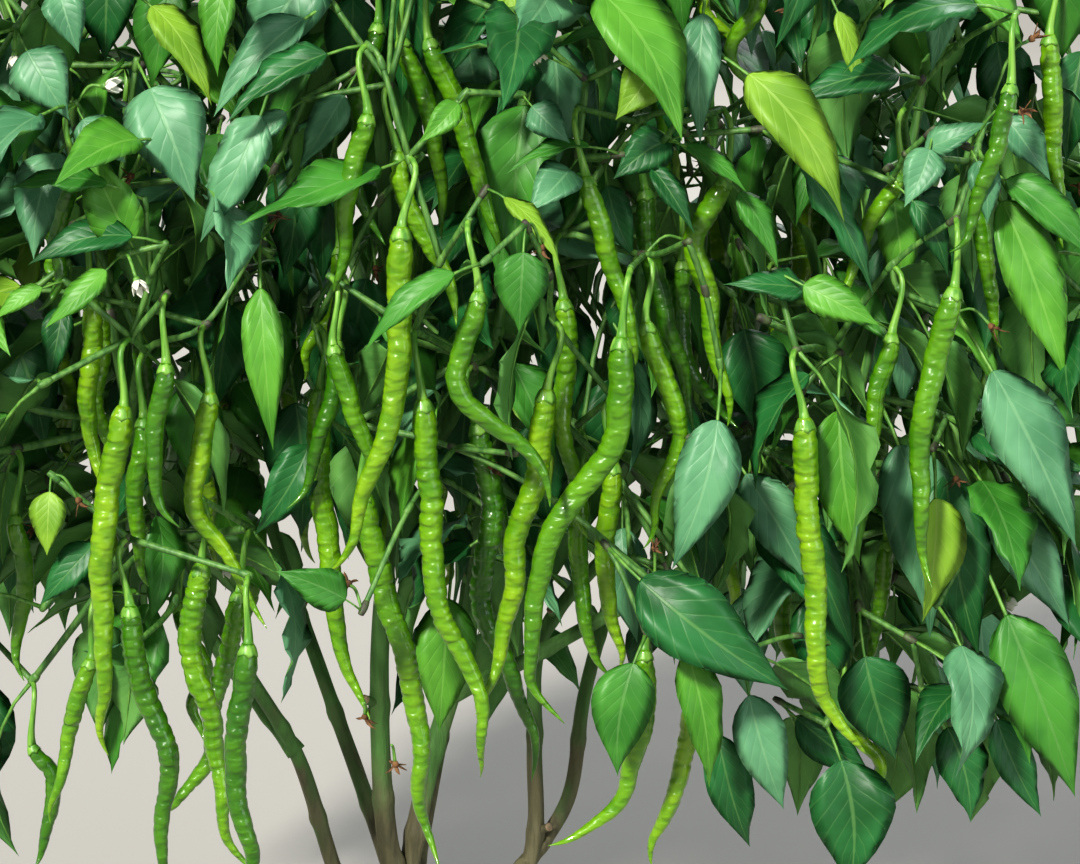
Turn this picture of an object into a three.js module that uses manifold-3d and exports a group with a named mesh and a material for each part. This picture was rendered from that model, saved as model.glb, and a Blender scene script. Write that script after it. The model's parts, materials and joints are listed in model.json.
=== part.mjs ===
// A chilli pepper plant in millimetres, +Z up: a green trunk that forks low down into boughs, each bough
// ending in a mass of twigs, leaves and long hanging pods. The origin is on the ground, in the middle of
// the trunk's foot. -Y is the plant's front, where the most pods hang, and +X is to the right of it.

import * as THREE from "three";
import Module from "manifold-3d";

const wasm = await Module();
wasm.setup();

// Driving sizes
const TRUNK_FOOT_RADIUS = 16; // at the ground, over the root flare
const TRUNK_RADIUS = 10.5; // just above the flare
const FLARE_HEIGHT = 45;
const LIMB_GAP = 0.35; // between a limb and what meets it
const TRUNK_SIDES = 12;
const BOUGH_SIDES = 7;
const MORE_STEPS = 2; // a limb has this many steps more than its line has points
const GROUND_BLOCK = 60; // half the width, and the depth, of what cuts the trunk's foot flat

const STEM_RADIUS = 3.6; // of a mass's stem, where it meets its bough
const STEM_SIDES = 6;
const STEM_STEP = 48;
const STEM_STRAIGHT = 12; // from its bough's tip, before it bends
const STEM_BEND = 0.2; // the share of its rise over which it then bends
const TWIG_RADIUS = 2.5;
const TWIG_END_RADIUS = 1.7;
const TWIG_TAPER = 0.85; // from a node to the next one
const TWIG_SIDES = 3;
const INTERNODE = 85; // the longest stretch of twig between two nodes
const TWIG_RISE = 0.1; // how far a twig bows up, as a share of its length
const TWIG_CLEARANCE = 4; // from a twig's middle to a limb or a pod
const TWIG_TO_LEAF = 13; // from a twig's middle to a leaf's test points
const TWIG_TESTS = 8; // for each stretch
const WAYS_TRIED = 16;
const TURN_COST = 0.4; // of a way that leaves its node sideways, as a share of its length
const ROOT_RADIUS = 0.5; // of the root of what grows from a twig, sunk just past the twig's middle
const ROOT_DEPTH = 0.3;
const STRAIGHT = 0.6; // the least cosine of a bend that a shoot carries on through
const RUNS_ON = 0.3; // the least cosine of the bend from a shoot's end into a leaf that carries it on
const TWIG_PAST_NODE = 1.5; // how far a bare shoot's end stands past its last node

const LEAF_LENGTH = 132; // with its stalk
const LEAF_SPREAD = 0.2; // how far a leaf's length varies, each way
const LEAF_WIDTH = 0.5; // as a share of its length, like its other sizes
const LEAF_WIDEST = 0.5;
const LEAF_ARCH = 0.07;
const LEAF_THICKNESS = 0.02;
const LEAF_TURN = 2.2; // the whole range of a leaf's turn from straight outwards, in radians
const LEAF_DROOP = [0.2, 1.3]; // the least and most below the level, in radians
const LEAF_ROLL = 0.9; // the whole range, in radians
const TEST_SHARES = [0.2, 0.35, 0.5, 0.65, 0.8]; // where along a leaf its test points lie
const TEST_WIDTHS = [-1, -0.5, 0, 0.5, 1]; // and where across it, as shares of its half width there
const LEAF_PAST_BALL = 60; // how far leaf tips stand out of their mass's ball
const LEAF_ROUNDS = 2; // how often each node gets one more leaf, if it fits
const LEAF_TRIES = 6; // for one leaf
const LEAF_APART = 19; // between the test points of two leaves
const LEAF_TO_TWIG = 13; // from a test point to another twig's middle
const LEAF_CLEARANCE = 7; // from a limb to a leaf's test points
const LEAF_NEAR_NODE = 40; // a leaf may come close to a pod within this distance of its own node
const PLACE_CLEARANCE = 6; // from the place where a twig is to end to a limb or a pod
const PLACES_TRIED = 400;

const POD_RADIUS = 7.6; // of a full-grown pod
const FULL_POD = 200; // the drop of a full-grown pod
const POD_SIDES = 4;
const SMALL_POD = 0.6; // the radius of the smallest pod, as a share of a full-grown one's
const POD_TAPER = [1, 0.9, 0.62]; // a pod's radius at a quarter, half and three quarters of its drop
const GROWN_DROP = [95, 210]; // the least and most drop of a pod that is grown by rule
const GROWN_LEAN = 60; // the whole range of such a pod's lean to one side
const GROWN_OUT = 30; // and of its lean to the front or back
const GROWN_BENDS = [12, 26, -30]; // and of its three bends
const LOWEST_POD = -0.3; // how low its calyx may be, as a share of the ball's half height over the heart
const POD_TESTS = 20;
const PEDICEL = 38; // from the twig down to the calyx
const PEDICEL_SWAY = 0.12; // of the pod's lean, by which the pedicel starts to the other side
const PEDICEL_BACK = 0.3; // of its own height, by which it starts behind the calyx
const PEDICEL_RADIUS = 2;
const CALYX_RADIUS = 4.6;
const POD_TO_LEAF = 8; // from a pod to a leaf's test points
const POD_TO_POD = 3;

const BALL_TALLNESS = 2; // a mass's ball is this many times as tall as it is wide
const BALL_MIDDLE = 0.35; // the share of a ball's radius, round its heart, where no twig is sent
const SPACE_GAP = 1.5; // what a mass keeps from its neighbours' spaces
const CROWN_AXIS = new THREE.Vector3(20, 0, 600);

// The limbs. Each starts inside its parent, at the first point of its line, and ends where its mass begins.
const LIMBS = [
  { name: "trunk", radii: [TRUNK_RADIUS, 9.5],
    line: [[-1, 0, -20], [3, -2, 60], [1, 1, 120], [-6, 0, 180]] },
  { name: "bough_leader", radii: [7.5, 4],
    line: [[-5, 0, 168], [-16, -14, 230], [-18, -22, 340], [-10, -30, 450], [-9, -46, 570], [-9, -58, 690],
      [-24, -66, 770]] },
  { name: "bough_right_leader", radii: [7.2, 4],
    line: [[-4, 0, 172], [14, 0, 262], [38, 2, 346], [52, 0, 428], [68, -4, 499], [92, -24, 610],
      [118, -44, 700], [138, -60, 770]] },
  { name: "bough_front_left", radii: [6, 4],
    line: [[2, -1, 66], [-24, -8, 120], [-50, -20, 196], [-72, -38, 284], [-104, -76, 362],
      [-134, -100, 440]] },
  { name: "bough_right", radii: [6.8, 4],
    line: [[2, 1, 84], [48, 30, 122], [84, 54, 180], [86, 60, 262], [92, 60, 340], [150, 72, 410],
      [214, 84, 470]] },
  { name: "bough_back_right", radii: [5.6, 4],
    line: [[76, 50, 168], [110, 76, 214], [122, 84, 290], [146, 112, 370], [176, 144, 440]] },
  { name: "bough_back_left", radii: [6.2, 4],
    line: [[0, 1, 138], [-22, 36, 196], [-58, 84, 280], [-92, 128, 360], [-116, 150, 430]] },
  { name: "bough_back_centre", radii: [6, 4],
    line: [[-2, 1, 154], [10, 40, 214], [26, 84, 296], [42, 128, 380], [52, 150, 440]] },
  { name: "bough_front_centre", radii: [5, 4],
    line: [[-11, -30, 440], [4, -60, 480], [30, -92, 520], [46, -110, 556]] },
  { name: "bough_front_right", radii: [5.2, 4],
    line: [[30, 1, 316], [66, -12, 336], [118, -34, 372], [180, -64, 418], [232, -84, 468]] },
  { name: "bough_left", radii: [5, 4],
    line: [[-73, -39, 288], [-106, -30, 330], [-150, -6, 386], [-188, 20, 440], [-206, 36, 480]] },
  { name: "bough_back_upper_left", radii: [4.6, 3.8],
    line: [[-9, -45, 562], [-34, -4, 620], [-60, 42, 680], [-76, 72, 740]] },
  { name: "bough_back_upper_right", radii: [4.6, 3.8],
    line: [[80, -14, 556], [104, 24, 620], [124, 62, 690], [134, 84, 750]] },
  { name: "bough_top", radii: [4.6, 3.8],
    line: [[-9, -52, 628], [8, -22, 700], [22, 4, 780], [26, 16, 850]] },
];

// The masses. Each has a ball of foliage round its heart, a stem from its bough up to the top point, and
// how many leaves and pods it grows by rule. No leaf grows on a node below the lowest height.
const MASSES = [
  { name: "foliage_front_centre", bough: "bough_front_centre", heart: [80, -130, 640], ball: 150,
    top: [86, -136, 800], leaves: 28, pods: 0, lowest: 520, seed: 11 },
  { name: "foliage_front_left", bough: "bough_front_left", heart: [-190, -110, 600], ball: 136,
    top: [-196, -120, 750], leaves: 16, pods: 0, lowest: 440, seed: 12 },
  { name: "foliage_front_right", bough: "bough_front_right", heart: [320, -110, 590], ball: 124,
    top: [330, -100, 770], leaves: 21, pods: 0, lowest: 300, seed: 13 },
  { name: "foliage_left", bough: "bough_left", heart: [-260, 60, 630], ball: 118,
    top: [-262, 60, 760], leaves: 17, pods: 3, lowest: 430, seed: 14 },
  { name: "foliage_right", bough: "bough_right", heart: [310, 90, 560], ball: 124,
    top: [312, 96, 760], leaves: 20, pods: 3, lowest: 270, seed: 15 },
  { name: "foliage_back_left", bough: "bough_back_left", heart: [-145, 190, 620], ball: 124,
    top: [-148, 192, 770], leaves: 15, pods: 3, lowest: 430, seed: 16 },
  { name: "foliage_back_centre", bough: "bough_back_centre", heart: [50, 205, 565], ball: 126,
    top: [54, 204, 770], leaves: 17, pods: 3, lowest: 300, seed: 17 },
  { name: "foliage_back_right", bough: "bough_back_right", heart: [215, 220, 540], ball: 118,
    top: [216, 222, 730], leaves: 17, pods: 3, lowest: 270, seed: 18 },
  { name: "foliage_upper_front_left", bough: "bough_leader", heart: [-112, -84, 890], ball: 134,
    top: [-100, -80, 1030], leaves: 24, pods: 2, lowest: 760, seed: 29 },
  { name: "foliage_upper_front_right", bough: "bough_right_leader", heart: [176, -84, 890], ball: 134,
    top: [170, -78, 1030], leaves: 24, pods: 2, lowest: 730, seed: 20 },
  { name: "foliage_upper_back_left", bough: "bough_back_upper_left", heart: [-104, 120, 880], ball: 126,
    top: [-100, 118, 1000], leaves: 19, pods: 2, lowest: 720, seed: 21 },
  { name: "foliage_upper_back_right", bough: "bough_back_upper_right", heart: [164, 120, 880], ball: 126,
    top: [156, 118, 1000], leaves: 19, pods: 2, lowest: 710, seed: 22 },
  { name: "foliage_top", bough: "bough_top", heart: [40, 6, 985], ball: 126,
    top: [42, 8, 1090], leaves: 26, pods: 1, lowest: 840, seed: 23 },
];

// The pods that hang at the front. Each has its calyx's place, the drop to its tip, how far the tip lies to
// the right of the calyx, and its bends to the right at a quarter, half and three quarters of the drop.
const FRONT_PODS = [
  // left of the middle
  { calyx: [-172, -195, 620], drop: 122, lean: 12, bends: [-3, -11, -12] },
  { calyx: [-176, -155, 614], drop: 120, lean: 2, bends: [2, -3, 2] },
  { calyx: [-150, -225, 562], drop: 212, lean: -28, bends: [-4, -4, 5] },
  { calyx: [-146, -180, 546], drop: 106, lean: -5, bends: [-2, -4, -2] },
  { calyx: [-152, -216, 440], drop: 182, lean: 14, bends: [0, 13, 4] },
  { calyx: [-123, -240, 590], drop: 98, lean: -2, bends: [-3, -9, -6] },
  { calyx: [-103, -205, 566], drop: 142, lean: 28, bends: [-13, -24, -9] },
  { calyx: [-80, -240, 424], drop: 166, lean: -1, bends: [-6, -8, -2] },
  { calyx: [-112, -195, 460], drop: 200, lean: 16, bends: [-12, -5, -3] },
  { calyx: [-95, -150, 430], drop: 150, lean: -52, bends: [5, 8, 14] },
  { calyx: [-184, -172, 394], drop: 104, lean: -32, bends: [-1, -1, 2] },
  { calyx: [-228, -146, 330], drop: 80, lean: 1, bends: [11, 12, 6] },
  { calyx: [-228, -170, 484], drop: 102, lean: -2, bends: [5, 4, 2] },
  // middle
  { calyx: [-6, -136, 776], drop: 134, lean: -4, bends: [-8, -11, -9] },
  { calyx: [8, -150, 768], drop: 118, lean: 20, bends: [7, 9, 9] },
  { calyx: [26, -190, 770], drop: 124, lean: 44, bends: [2, 1, -1] },
  { calyx: [8, -200, 706], drop: 98, lean: 38, bends: [-6, -5, 0] },
  { calyx: [12, -240, 668], drop: 206, lean: -33, bends: [6, 12, 0] },
  { calyx: [56, -270, 636], drop: 116, lean: 47, bends: [-20, -33, -14] },
  { calyx: [22, -225, 566], drop: 234, lean: 37, bends: [-5, -11, 3] },
  { calyx: [-16, -190, 504], drop: 236, lean: 36, bends: [3, 10, 6] },
  { calyx: [52, -165, 540], drop: 222, lean: 46, bends: [-3, -20, -12] },
  { calyx: [94, -205, 568], drop: 196, lean: -39, bends: [3, 1, 5] },
  { calyx: [136, -245, 606], drop: 230, lean: -48, bends: [9, -15, -15] },
  { calyx: [104, -160, 614], drop: 150, lean: 10, bends: [0, -5, -1] },
  { calyx: [116, -218, 694], drop: 110, lean: 32, bends: [0, 0, 1] },
  { calyx: [152, -195, 606], drop: 138, lean: 7, bends: [10, 17, 3] },
  { calyx: [152, -160, 680], drop: 144, lean: 33, bends: [-5, -5, -1] },
  { calyx: [176, -135, 634], drop: 104, lean: 34, bends: [-9, -16, -14] },
  { calyx: [198, -185, 690], drop: 145, lean: 12, bends: [-20, -14, -14] },
  { calyx: [152, -212, 412], drop: 128, lean: -52, bends: [14, 22, 24] },
  { calyx: [180, -185, 404], drop: 136, lean: -28, bends: [10, 13, 8] },
  { calyx: [134, -180, 518], drop: 130, lean: 6, bends: [-5, -8, -4] },
  { calyx: [114, -140, 492], drop: 122, lean: 14, bends: [-4, -7, -3] },
  { calyx: [-42, -165, 560], drop: 204, lean: 26, bends: [-9, -8, -12] },
  { calyx: [-30, -186, 594], drop: 104, lean: -24, bends: [4, 4, 2] },
  { calyx: [-30, -214, 596], drop: 100, lean: 15, bends: [4, 9, 10] },
  // right of the middle
  { calyx: [242, -230, 556], drop: 210, lean: 36, bends: [-6, -9, -14] },
  { calyx: [326, -230, 632], drop: 176, lean: -12, bends: [-7, -11, -5] },
  { calyx: [352, -240, 748], drop: 96, lean: -28, bends: [2, 4, 4] },
  { calyx: [344, -185, 680], drop: 92, lean: 13, bends: [1, 3, 3] },
  { calyx: [390, -150, 770], drop: 126, lean: 8, bends: [0, 1, 3] },
  { calyx: [302, -170, 690], drop: 82, lean: -36, bends: [-3, -3, -2] },
  { calyx: [304, -140, 460], drop: 88, lean: -12, bends: [1, 3, 3] },
];

const vector = ([x, y, z]) => new THREE.Vector3(x, y, z);
const UP = new THREE.Vector3(0, 0, 1);

// The value at a share of the way between two.
const between = ([low, high], share) => low + (high - low) * share;

// The value at a share of a range that lies evenly round 0.
const around = (range, share) => range * (share - 0.5);

// A row of numbers from 0 to 1 that is the same in every run.
function seeded(seed) {
  let state = seed * 2654435761 >>> 0;
  return () => {
    state = (Math.imul(state, 1664525) + 1013904223) >>> 0;
    return state / 4294967296;
  };
}

// A smooth line through the points, as count + 1 points.
function smooth(points, count) {
  return new THREE.CatmullRomCurve3(points, false, "catmullrom", 0.5).getPoints(count);
}

function solidOf(positions, index) {
  return new wasm.Manifold(new wasm.Mesh({
    numProp: 3,
    vertProperties: new Float32Array(positions.flatMap((p) => [p.x, p.y, p.z])),
    triVerts: new Uint32Array(index),
  }));
}

// A solid through rings of equally many points, each turned the same way. With a point, it ends in that.
function skin(rings, point) {
  const sides = rings[0].length;
  const index = [];
  for (let i = 0; i < rings.length - 1; i++) {
    for (let s = 0; s < sides; s++) {
      const [a, b] = [i * sides + s, i * sides + ((s + 1) % sides)];
      index.push(a, b, b + sides, a, b + sides, a + sides);
    }
  }
  const end = (rings.length - 1) * sides;
  for (let s = 1; s < sides - 1; s++) index.push(0, s + 1, s);
  if (point) {
    for (let s = 0; s < sides; s++) index.push(end + s, end + ((s + 1) % sides), rings.length * sides);
  } else {
    for (let s = 1; s < sides - 1; s++) index.push(end, end + s, end + s + 1);
  }
  return solidOf([...rings.flat(), ...(point ? [point] : [])], index);
}

// Rings round the centres, with a radius at each, carried along without twist. The last is the line's end.
function ringsAlong(centres, radii, sides, last = centres.at(-1)) {
  const first = centres[1].clone().sub(centres[0]);
  const across = Math.abs(first.x) > Math.hypot(first.y, first.z) ? vector([0, 1, 0]) : vector([1, 0, 0]);
  return centres.map((centre, i) => {
    const along = (centres[i + 1] || last).clone().sub(centres[i - 1] || centre).normalize();
    across.addScaledVector(along, -across.dot(along)).normalize();
    const beside = along.clone().cross(across);
    return Array.from({ length: sides }, (_, s) => {
      const turn = (2 * Math.PI * s) / sides;
      return centre.clone()
        .addScaledVector(across, radii[i] * Math.cos(turn))
        .addScaledVector(beside, radii[i] * Math.sin(turn));
    });
  });
}

// The centres and radii of a limb's rings, at even steps along its line.
function limbRings(limb) {
  const centres = smooth(limb.line.map(vector), limb.line.length + MORE_STEPS);
  const radii = centres.map((centre, i) => {
    const taper = between(limb.radii, i / (centres.length - 1));
    const flare = limb.name === "trunk" ? Math.max(0, 1 - centre.z / FLARE_HEIGHT) : 0;
    return taper + (TRUNK_FOOT_RADIUS - TRUNK_RADIUS) * flare ** 2;
  });
  return { centres, radii };
}

function limbSolid(limb, grown) {
  const { centres, radii } = limb.rings;
  const sides = limb.name === "trunk" ? TRUNK_SIDES : BOUGH_SIDES;
  return skin(ringsAlong(centres, radii.map((r) => r + grown), sides));
}

const largest = (solid) => solid.decompose().sort((a, b) => b.volume() - a.volume())[0];

// Each limb is cut clear of the limbs before it, which it grows from or passes, and the trunk's foot is cut
// flat at the ground.
function limbSolids() {
  const under = vector([0, 0, -GROUND_BLOCK]);
  const ground = skin(ringsAlong([under, vector([0, 0, 0])], [GROUND_BLOCK, GROUND_BLOCK], 4));
  const made = {};
  const cutters = [ground];
  for (const limb of LIMBS) {
    let solid = limbSolid(limb, 0);
    for (const cutter of cutters) solid = solid.subtract(cutter);
    made[limb.name] = largest(solid);
    cutters.push(limbSolid(limb, LIMB_GAP));
  }
  return made;
}

// How far a point lies from the nearest limb's bark.
function toLimbs(p) {
  let least = Infinity;
  for (const { rings } of LIMBS) {
    for (let i = 1; i < rings.centres.length; i++) {
      least = Math.min(least, toSegment(p, rings.centres[i - 1], rings.centres[i]) - rings.radii[i - 1]);
    }
  }
  return least;
}

function toSegment(p, a, b) {
  const along = b.clone().sub(a);
  const t = THREE.MathUtils.clamp(p.clone().sub(a).dot(along) / along.lengthSq(), 0, 1);
  return p.distanceTo(a.clone().addScaledVector(along, t));
}

// A point's depth in a mass's ball is negative inside it. The mass with the lowest depth owns the point.
const squash = new THREE.Vector3(1, 1, 1 / BALL_TALLNESS);
function depthIn(mass, p) {
  return p.clone().sub(mass.centre).multiply(squash).lengthSq() - mass.ball ** 2;
}

function owns(mass, p) {
  const own = depthIn(mass, p);
  return MASSES.every((other) => {
    if (other === mass) return true;
    const apart = other.centre.clone().sub(mass.centre).multiply(squash).multiply(squash).length();
    return (depthIn(other, p) - own) / (2 * apart) > SPACE_GAP;
  });
}

function inReach(mass, p) {
  return depthIn(mass, p) < (mass.ball + LEAF_PAST_BALL) ** 2 - mass.ball ** 2;
}

// A pod's centre line, from its node on the twig, by the pedicel, to its tip.
function podLine(pod) {
  const calyx = vector(pod.calyx);
  const at = (share, bend) => calyx.clone()
    .add(new THREE.Vector3(pod.lean * share + bend, (pod.out || 0) * share, -pod.drop * share));
  const pedicel = new THREE.Vector3(-pod.lean * PEDICEL_SWAY, PEDICEL * PEDICEL_BACK, PEDICEL);
  const node = calyx.clone().add(pedicel);
  return [node, calyx, at(0.25, pod.bends[0]), at(0.5, pod.bends[1]), at(0.75, pod.bends[2]), at(1, 0)];
}

// The place behind a node where something that grows from it towards a point has its root.
const sunk = (node, towards) => node.clone().sub(towards).setLength(ROOT_DEPTH).add(node);

const podSize = (pod) => POD_RADIUS * between([SMALL_POD, 1], Math.min(1, pod.drop / FULL_POD));

function podSolid(pod) {
  const [node, calyx, ...rest] = pod.line;
  const tip = rest.pop();
  const radii = [ROOT_RADIUS, CALYX_RADIUS, ...POD_TAPER.map((share) => share * podSize(pod))];
  return skin(ringsAlong([sunk(node, calyx), calyx, ...rest], radii, POD_SIDES, tip), tip);
}

function toPods(p, pods) {
  let least = Infinity;
  for (const pod of pods) {
    for (let i = 1; i < pod.line.length; i++) {
      const radius = i === 1 ? PEDICEL_RADIUS : podSize(pod);
      least = Math.min(least, toSegment(p, pod.line[i - 1], pod.line[i]) - radius);
    }
  }
  return least;
}

// The place at a share of a leaf's length, and so far across and above its chord, in millimetres. The leaf
// leaves its node outwards from the crown's axis, or to one side by its turn, and hangs by its droop.
function leafPlace({ node, turn, droop, roll, length }) {
  const out = node.clone().sub(CROWN_AXIS).setZ(0).normalize().applyAxisAngle(UP, turn);
  const side = out.clone().cross(UP);
  const along = out.clone().applyAxisAngle(side, -droop);
  const face = side.clone().cross(along).applyAxisAngle(along, roll);
  const across = along.clone().cross(face);
  return (share, wide, high) => node.clone().addScaledVector(along, share * length)
    .addScaledVector(across, wide).addScaledVector(face, high);
}

// A leaf rises in an arch to its widest place and falls to its tip. This is its height, as a share of its
// length, at a share of the way along it.
function archAt(share) {
  if (share < LEAF_WIDEST) return (LEAF_ARCH * share) / LEAF_WIDEST;
  return LEAF_ARCH * (1 - (2 * (share - LEAF_WIDEST)) / (1 - LEAF_WIDEST));
}

// A leaf's section: its left edge, the top of its midrib and its right edge.
function leafSection(leaf, share, half, thickness) {
  const place = leafPlace(leaf);
  const high = archAt(share) * leaf.length;
  return [place(share, -half, high), place(share, 0, high + thickness), place(share, half, high)];
}

function leafBlade(leaf) {
  return leafSection(leaf, LEAF_WIDEST, (leaf.length * LEAF_WIDTH) / 2, leaf.length * LEAF_THICKNESS);
}

const leafTip = (leaf) => leafPlace(leaf)(1, 0, archAt(1) * leaf.length);

// Points all over a leaf, to test where it lies.
function leafTests(leaf) {
  const place = leafPlace(leaf);
  const points = [leafTip(leaf)];
  for (const share of TEST_SHARES) {
    const spread = Math.min(share / LEAF_WIDEST, (1 - share) / (1 - LEAF_WIDEST));
    const half = (spread * leaf.length * LEAF_WIDTH) / 2;
    for (const wide of TEST_WIDTHS) points.push(place(share, wide * half, archAt(share) * leaf.length));
  }
  return points;
}

// The same turn of each ring's points that follows on from another ring with the least twist.
function untwisted(ring, following) {
  const turned = (points, by) => [...points.slice(by), ...points.slice(0, by)];
  const twist = (by) => turned(following[0], by).reduce((sum, p, i) => sum + p.distanceTo(ring[i]), 0);
  const best = [0, 1, 2].sort((a, b) => twist(a) - twist(b))[0];
  return following.map((points) => turned(points, best));
}

// The nodes of a mass's stem, from its bough's tip up to its top.
function stemNodes(mass) {
  const { centres } = LIMBS.find((limb) => limb.name === mass.bough).rings;
  const tip = centres.at(-1);
  const along = tip.clone().sub(centres.at(-2)).normalize();
  const start = tip.clone().addScaledVector(along, LIMB_GAP);
  const straight = start.clone().addScaledVector(along, STEM_STRAIGHT);
  const top = vector(mass.top);
  const rise = straight.distanceTo(top);
  const bend = straight.clone().addScaledVector(along, rise * STEM_BEND);
  const bent = smooth([straight, bend, top], Math.ceil(rise / STEM_STEP));
  const line = [start, ...bent];
  return line.map((at, i) => ({
    at,
    along: (line[i + 1] || at).clone().sub(line[i + 1] ? at : line[i - 1]).normalize(),
    radius: between([STEM_RADIUS, TWIG_RADIUS], i / (line.length - 1)),
  }));
}

// A stretch of twig from a node to a new one. The first that runs on nearly straight continues the shoot.
function extend(from, at) {
  const along = at.clone().sub(from.at).normalize();
  const radius = Math.max(TWIG_END_RADIUS, Math.min(TWIG_RADIUS, from.radius * TWIG_TAPER));
  const goesOn = Boolean(from.from) && !from.next && along.dot(from.along) > STRAIGHT;
  const node = { at, from, along, radius, goesOn };
  if (goesOn) from.next = node;
  return node;
}

// The cheapest clear way to a target from a mass's twigs: a short one that doesn't turn back. It gives the
// node that the way leaves from and the places of its new nodes, or null.
function wayTo(mass, grown, target, ownPod = null) {
  const pods = grown.pods.filter((pod) => pod !== ownPod);
  const ways = grown.nodes.map((node) => {
    const way = target.clone().sub(node.at);
    const length = way.length();
    return { node, length, cost: length + TURN_COST * (length - way.dot(node.along)) };
  }).sort((a, b) => a.cost - b.cost);
  for (const { node, length } of ways.slice(0, WAYS_TRIED)) {
    const at = (t) => node.at.clone().lerp(target, t)
      .addScaledVector(UP, length * TWIG_RISE * Math.sin(Math.PI * t));
    const count = Math.max(1, Math.ceil(length / INTERNODE));
    const tests = Array.from({ length: TWIG_TESTS * count }, (_, i) => at((i + 1) / (TWIG_TESTS * count)));
    const clear = tests.every((p) => owns(mass, p) && toLimbs(p) > TWIG_CLEARANCE
      && toPods(p, pods) > TWIG_CLEARANCE && toTwigs(p, grown, node.at) > TWIG_CLEARANCE
      && grown.leaves.every((leaf) => leaf.tests.every((q) => q.distanceTo(p) > TWIG_TO_LEAF)));
    const places = Array.from({ length: count - 1 }, (_, i) => at((i + 1) / count));
    if (clear) return { node, places: [...places, target] };
  }
  return null;
}

function growTo(grown, { node, places }) {
  let from = node;
  for (const at of places) {
    grown.stretches.push([from.at, at]);
    from = extend(from, at);
    grown.nodes.push(from);
  }
}

// How far a point lies from the middle of the nearest twig, without those that meet at a place.
function toTwigs(p, grown, place) {
  const apart = grown.stretches.filter(([a, b]) => a !== place && b !== place);
  return Math.min(...apart.map(([a, b]) => toSegment(p, a, b)));
}

function leafFits(mass, leaf, grown) {
  return leaf.tests.every((p) => owns(mass, p) && inReach(mass, p) && toLimbs(p) > LEAF_CLEARANCE
    && (p.distanceTo(leaf.node) < LEAF_NEAR_NODE || toPods(p, grown.pods) > POD_TO_LEAF)
    && grown.leaves.every((other) => other.tests.every((q) => q.distanceTo(p) > LEAF_APART))
    && toTwigs(p, grown, leaf.node) > LEAF_TO_TWIG);
}

// The first leaf of a few tries that fits at a place, or null. Every try takes the same draws.
function leafAt(mass, place, grown, random) {
  let found = null;
  for (let tries = 0; tries < LEAF_TRIES; tries++) {
    const [turn, droop, roll, size] = [random(), random(), random(), random()];
    const leaf = {
      node: place,
      turn: around(LEAF_TURN, turn),
      droop: between(LEAF_DROOP, droop),
      roll: around(LEAF_ROLL, roll),
      length: LEAF_LENGTH * (1 + around(2 * LEAF_SPREAD, size)),
    };
    leaf.tests = leafTests(leaf);
    if (!found && leafFits(mass, leaf, grown)) found = leaf;
  }
  return found;
}

// A place in the mass's ball, more often near its outside than its heart.
function placeIn(mass, random) {
  const turn = 2 * Math.PI * random();
  const rise = 2 * random() - 1;
  const far = mass.ball * between([BALL_MIDDLE, 1], Math.sqrt(random()));
  const flat = far * Math.sqrt(1 - rise * rise);
  const offset = new THREE.Vector3(flat * Math.cos(turn), flat * Math.sin(turn), far * rise * BALL_TALLNESS);
  return offset.add(mass.centre);
}

// The pods that a mass grows by rule, each clear of the limbs and of the pods before it.
function grownPods(mass, pods, random) {
  const made = [];
  const clearance = POD_RADIUS + POD_TO_POD;
  for (let tries = 0; tries < PLACES_TRIED && made.length < mass.pods; tries++) {
    const calyx = placeIn(mass, random);
    const [size, lean, sway, out] = [random(), random(), random(), random()];
    const pod = {
      calyx: calyx.toArray(),
      drop: between(GROWN_DROP, size),
      lean: around(GROWN_LEAN, lean),
      out: around(GROWN_OUT, out),
      bends: GROWN_BENDS.map((range) => around(range, sway)),
    };
    pod.line = podLine(pod);
    const low = calyx.z - mass.centre.z < LOWEST_POD * mass.ball * BALL_TALLNESS;
    const clear = smooth(pod.line, POD_TESTS).every((p) => owns(mass, p) && toLimbs(p) > clearance
      && toPods(p, [...pods, ...made]) > clearance);
    if (!low && clear) made.push(pod);
  }
  return made;
}

// Everything that a mass grows: its stem, its twigs, its pods and its leaves.
function growMass(mass) {
  const random = seeded(mass.seed);
  const stem = stemNodes(mass);
  const byReach = (a, b) => a.distanceTo(stem[0].at) - b.distanceTo(stem[0].at);
  const front = FRONT_PODS.filter((pod) => owns(mass, vector(pod.calyx)));
  front.forEach((pod) => { pod.line = podLine(pod); });
  const pods = [...front, ...grownPods(mass, front, random)].sort((a, b) => byReach(a.line[0], b.line[0]));
  const stretches = stem.slice(1).map((node, i) => [stem[i].at, node.at]);
  const grown = { stem, nodes: stem.slice(1), stretches, pods, leaves: [] };
  grown.pods = pods.filter((pod) => {
    const way = wayTo(mass, grown, pod.line[0], pod);
    if (way) growTo(grown, way);
    return way;
  });

  const targets = [];
  for (let tries = 0; tries < PLACES_TRIED && targets.length < mass.leaves; tries++) {
    const place = placeIn(mass, random);
    const clear = owns(mass, place) && toLimbs(place) > PLACE_CLEARANCE
      && toPods(place, grown.pods) > PLACE_CLEARANCE;
    if (place.z > mass.lowest && clear) targets.push(place);
  }
  for (const target of targets.sort(byReach)) {
    const leaf = leafAt(mass, target, grown, random);
    const way = wayTo(mass, grown, target);
    if (!leaf || !way) continue;
    growTo(grown, way);
    grown.leaves.push(leaf);
  }
  for (let round = 0; round < LEAF_ROUNDS; round++) {
    for (const { at } of grown.nodes.filter((node) => node.at.z > mass.lowest)) {
      const leaf = leafAt(mass, at, grown, random);
      if (leaf) grown.leaves.push(leaf);
    }
  }
  return grown;
}

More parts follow.
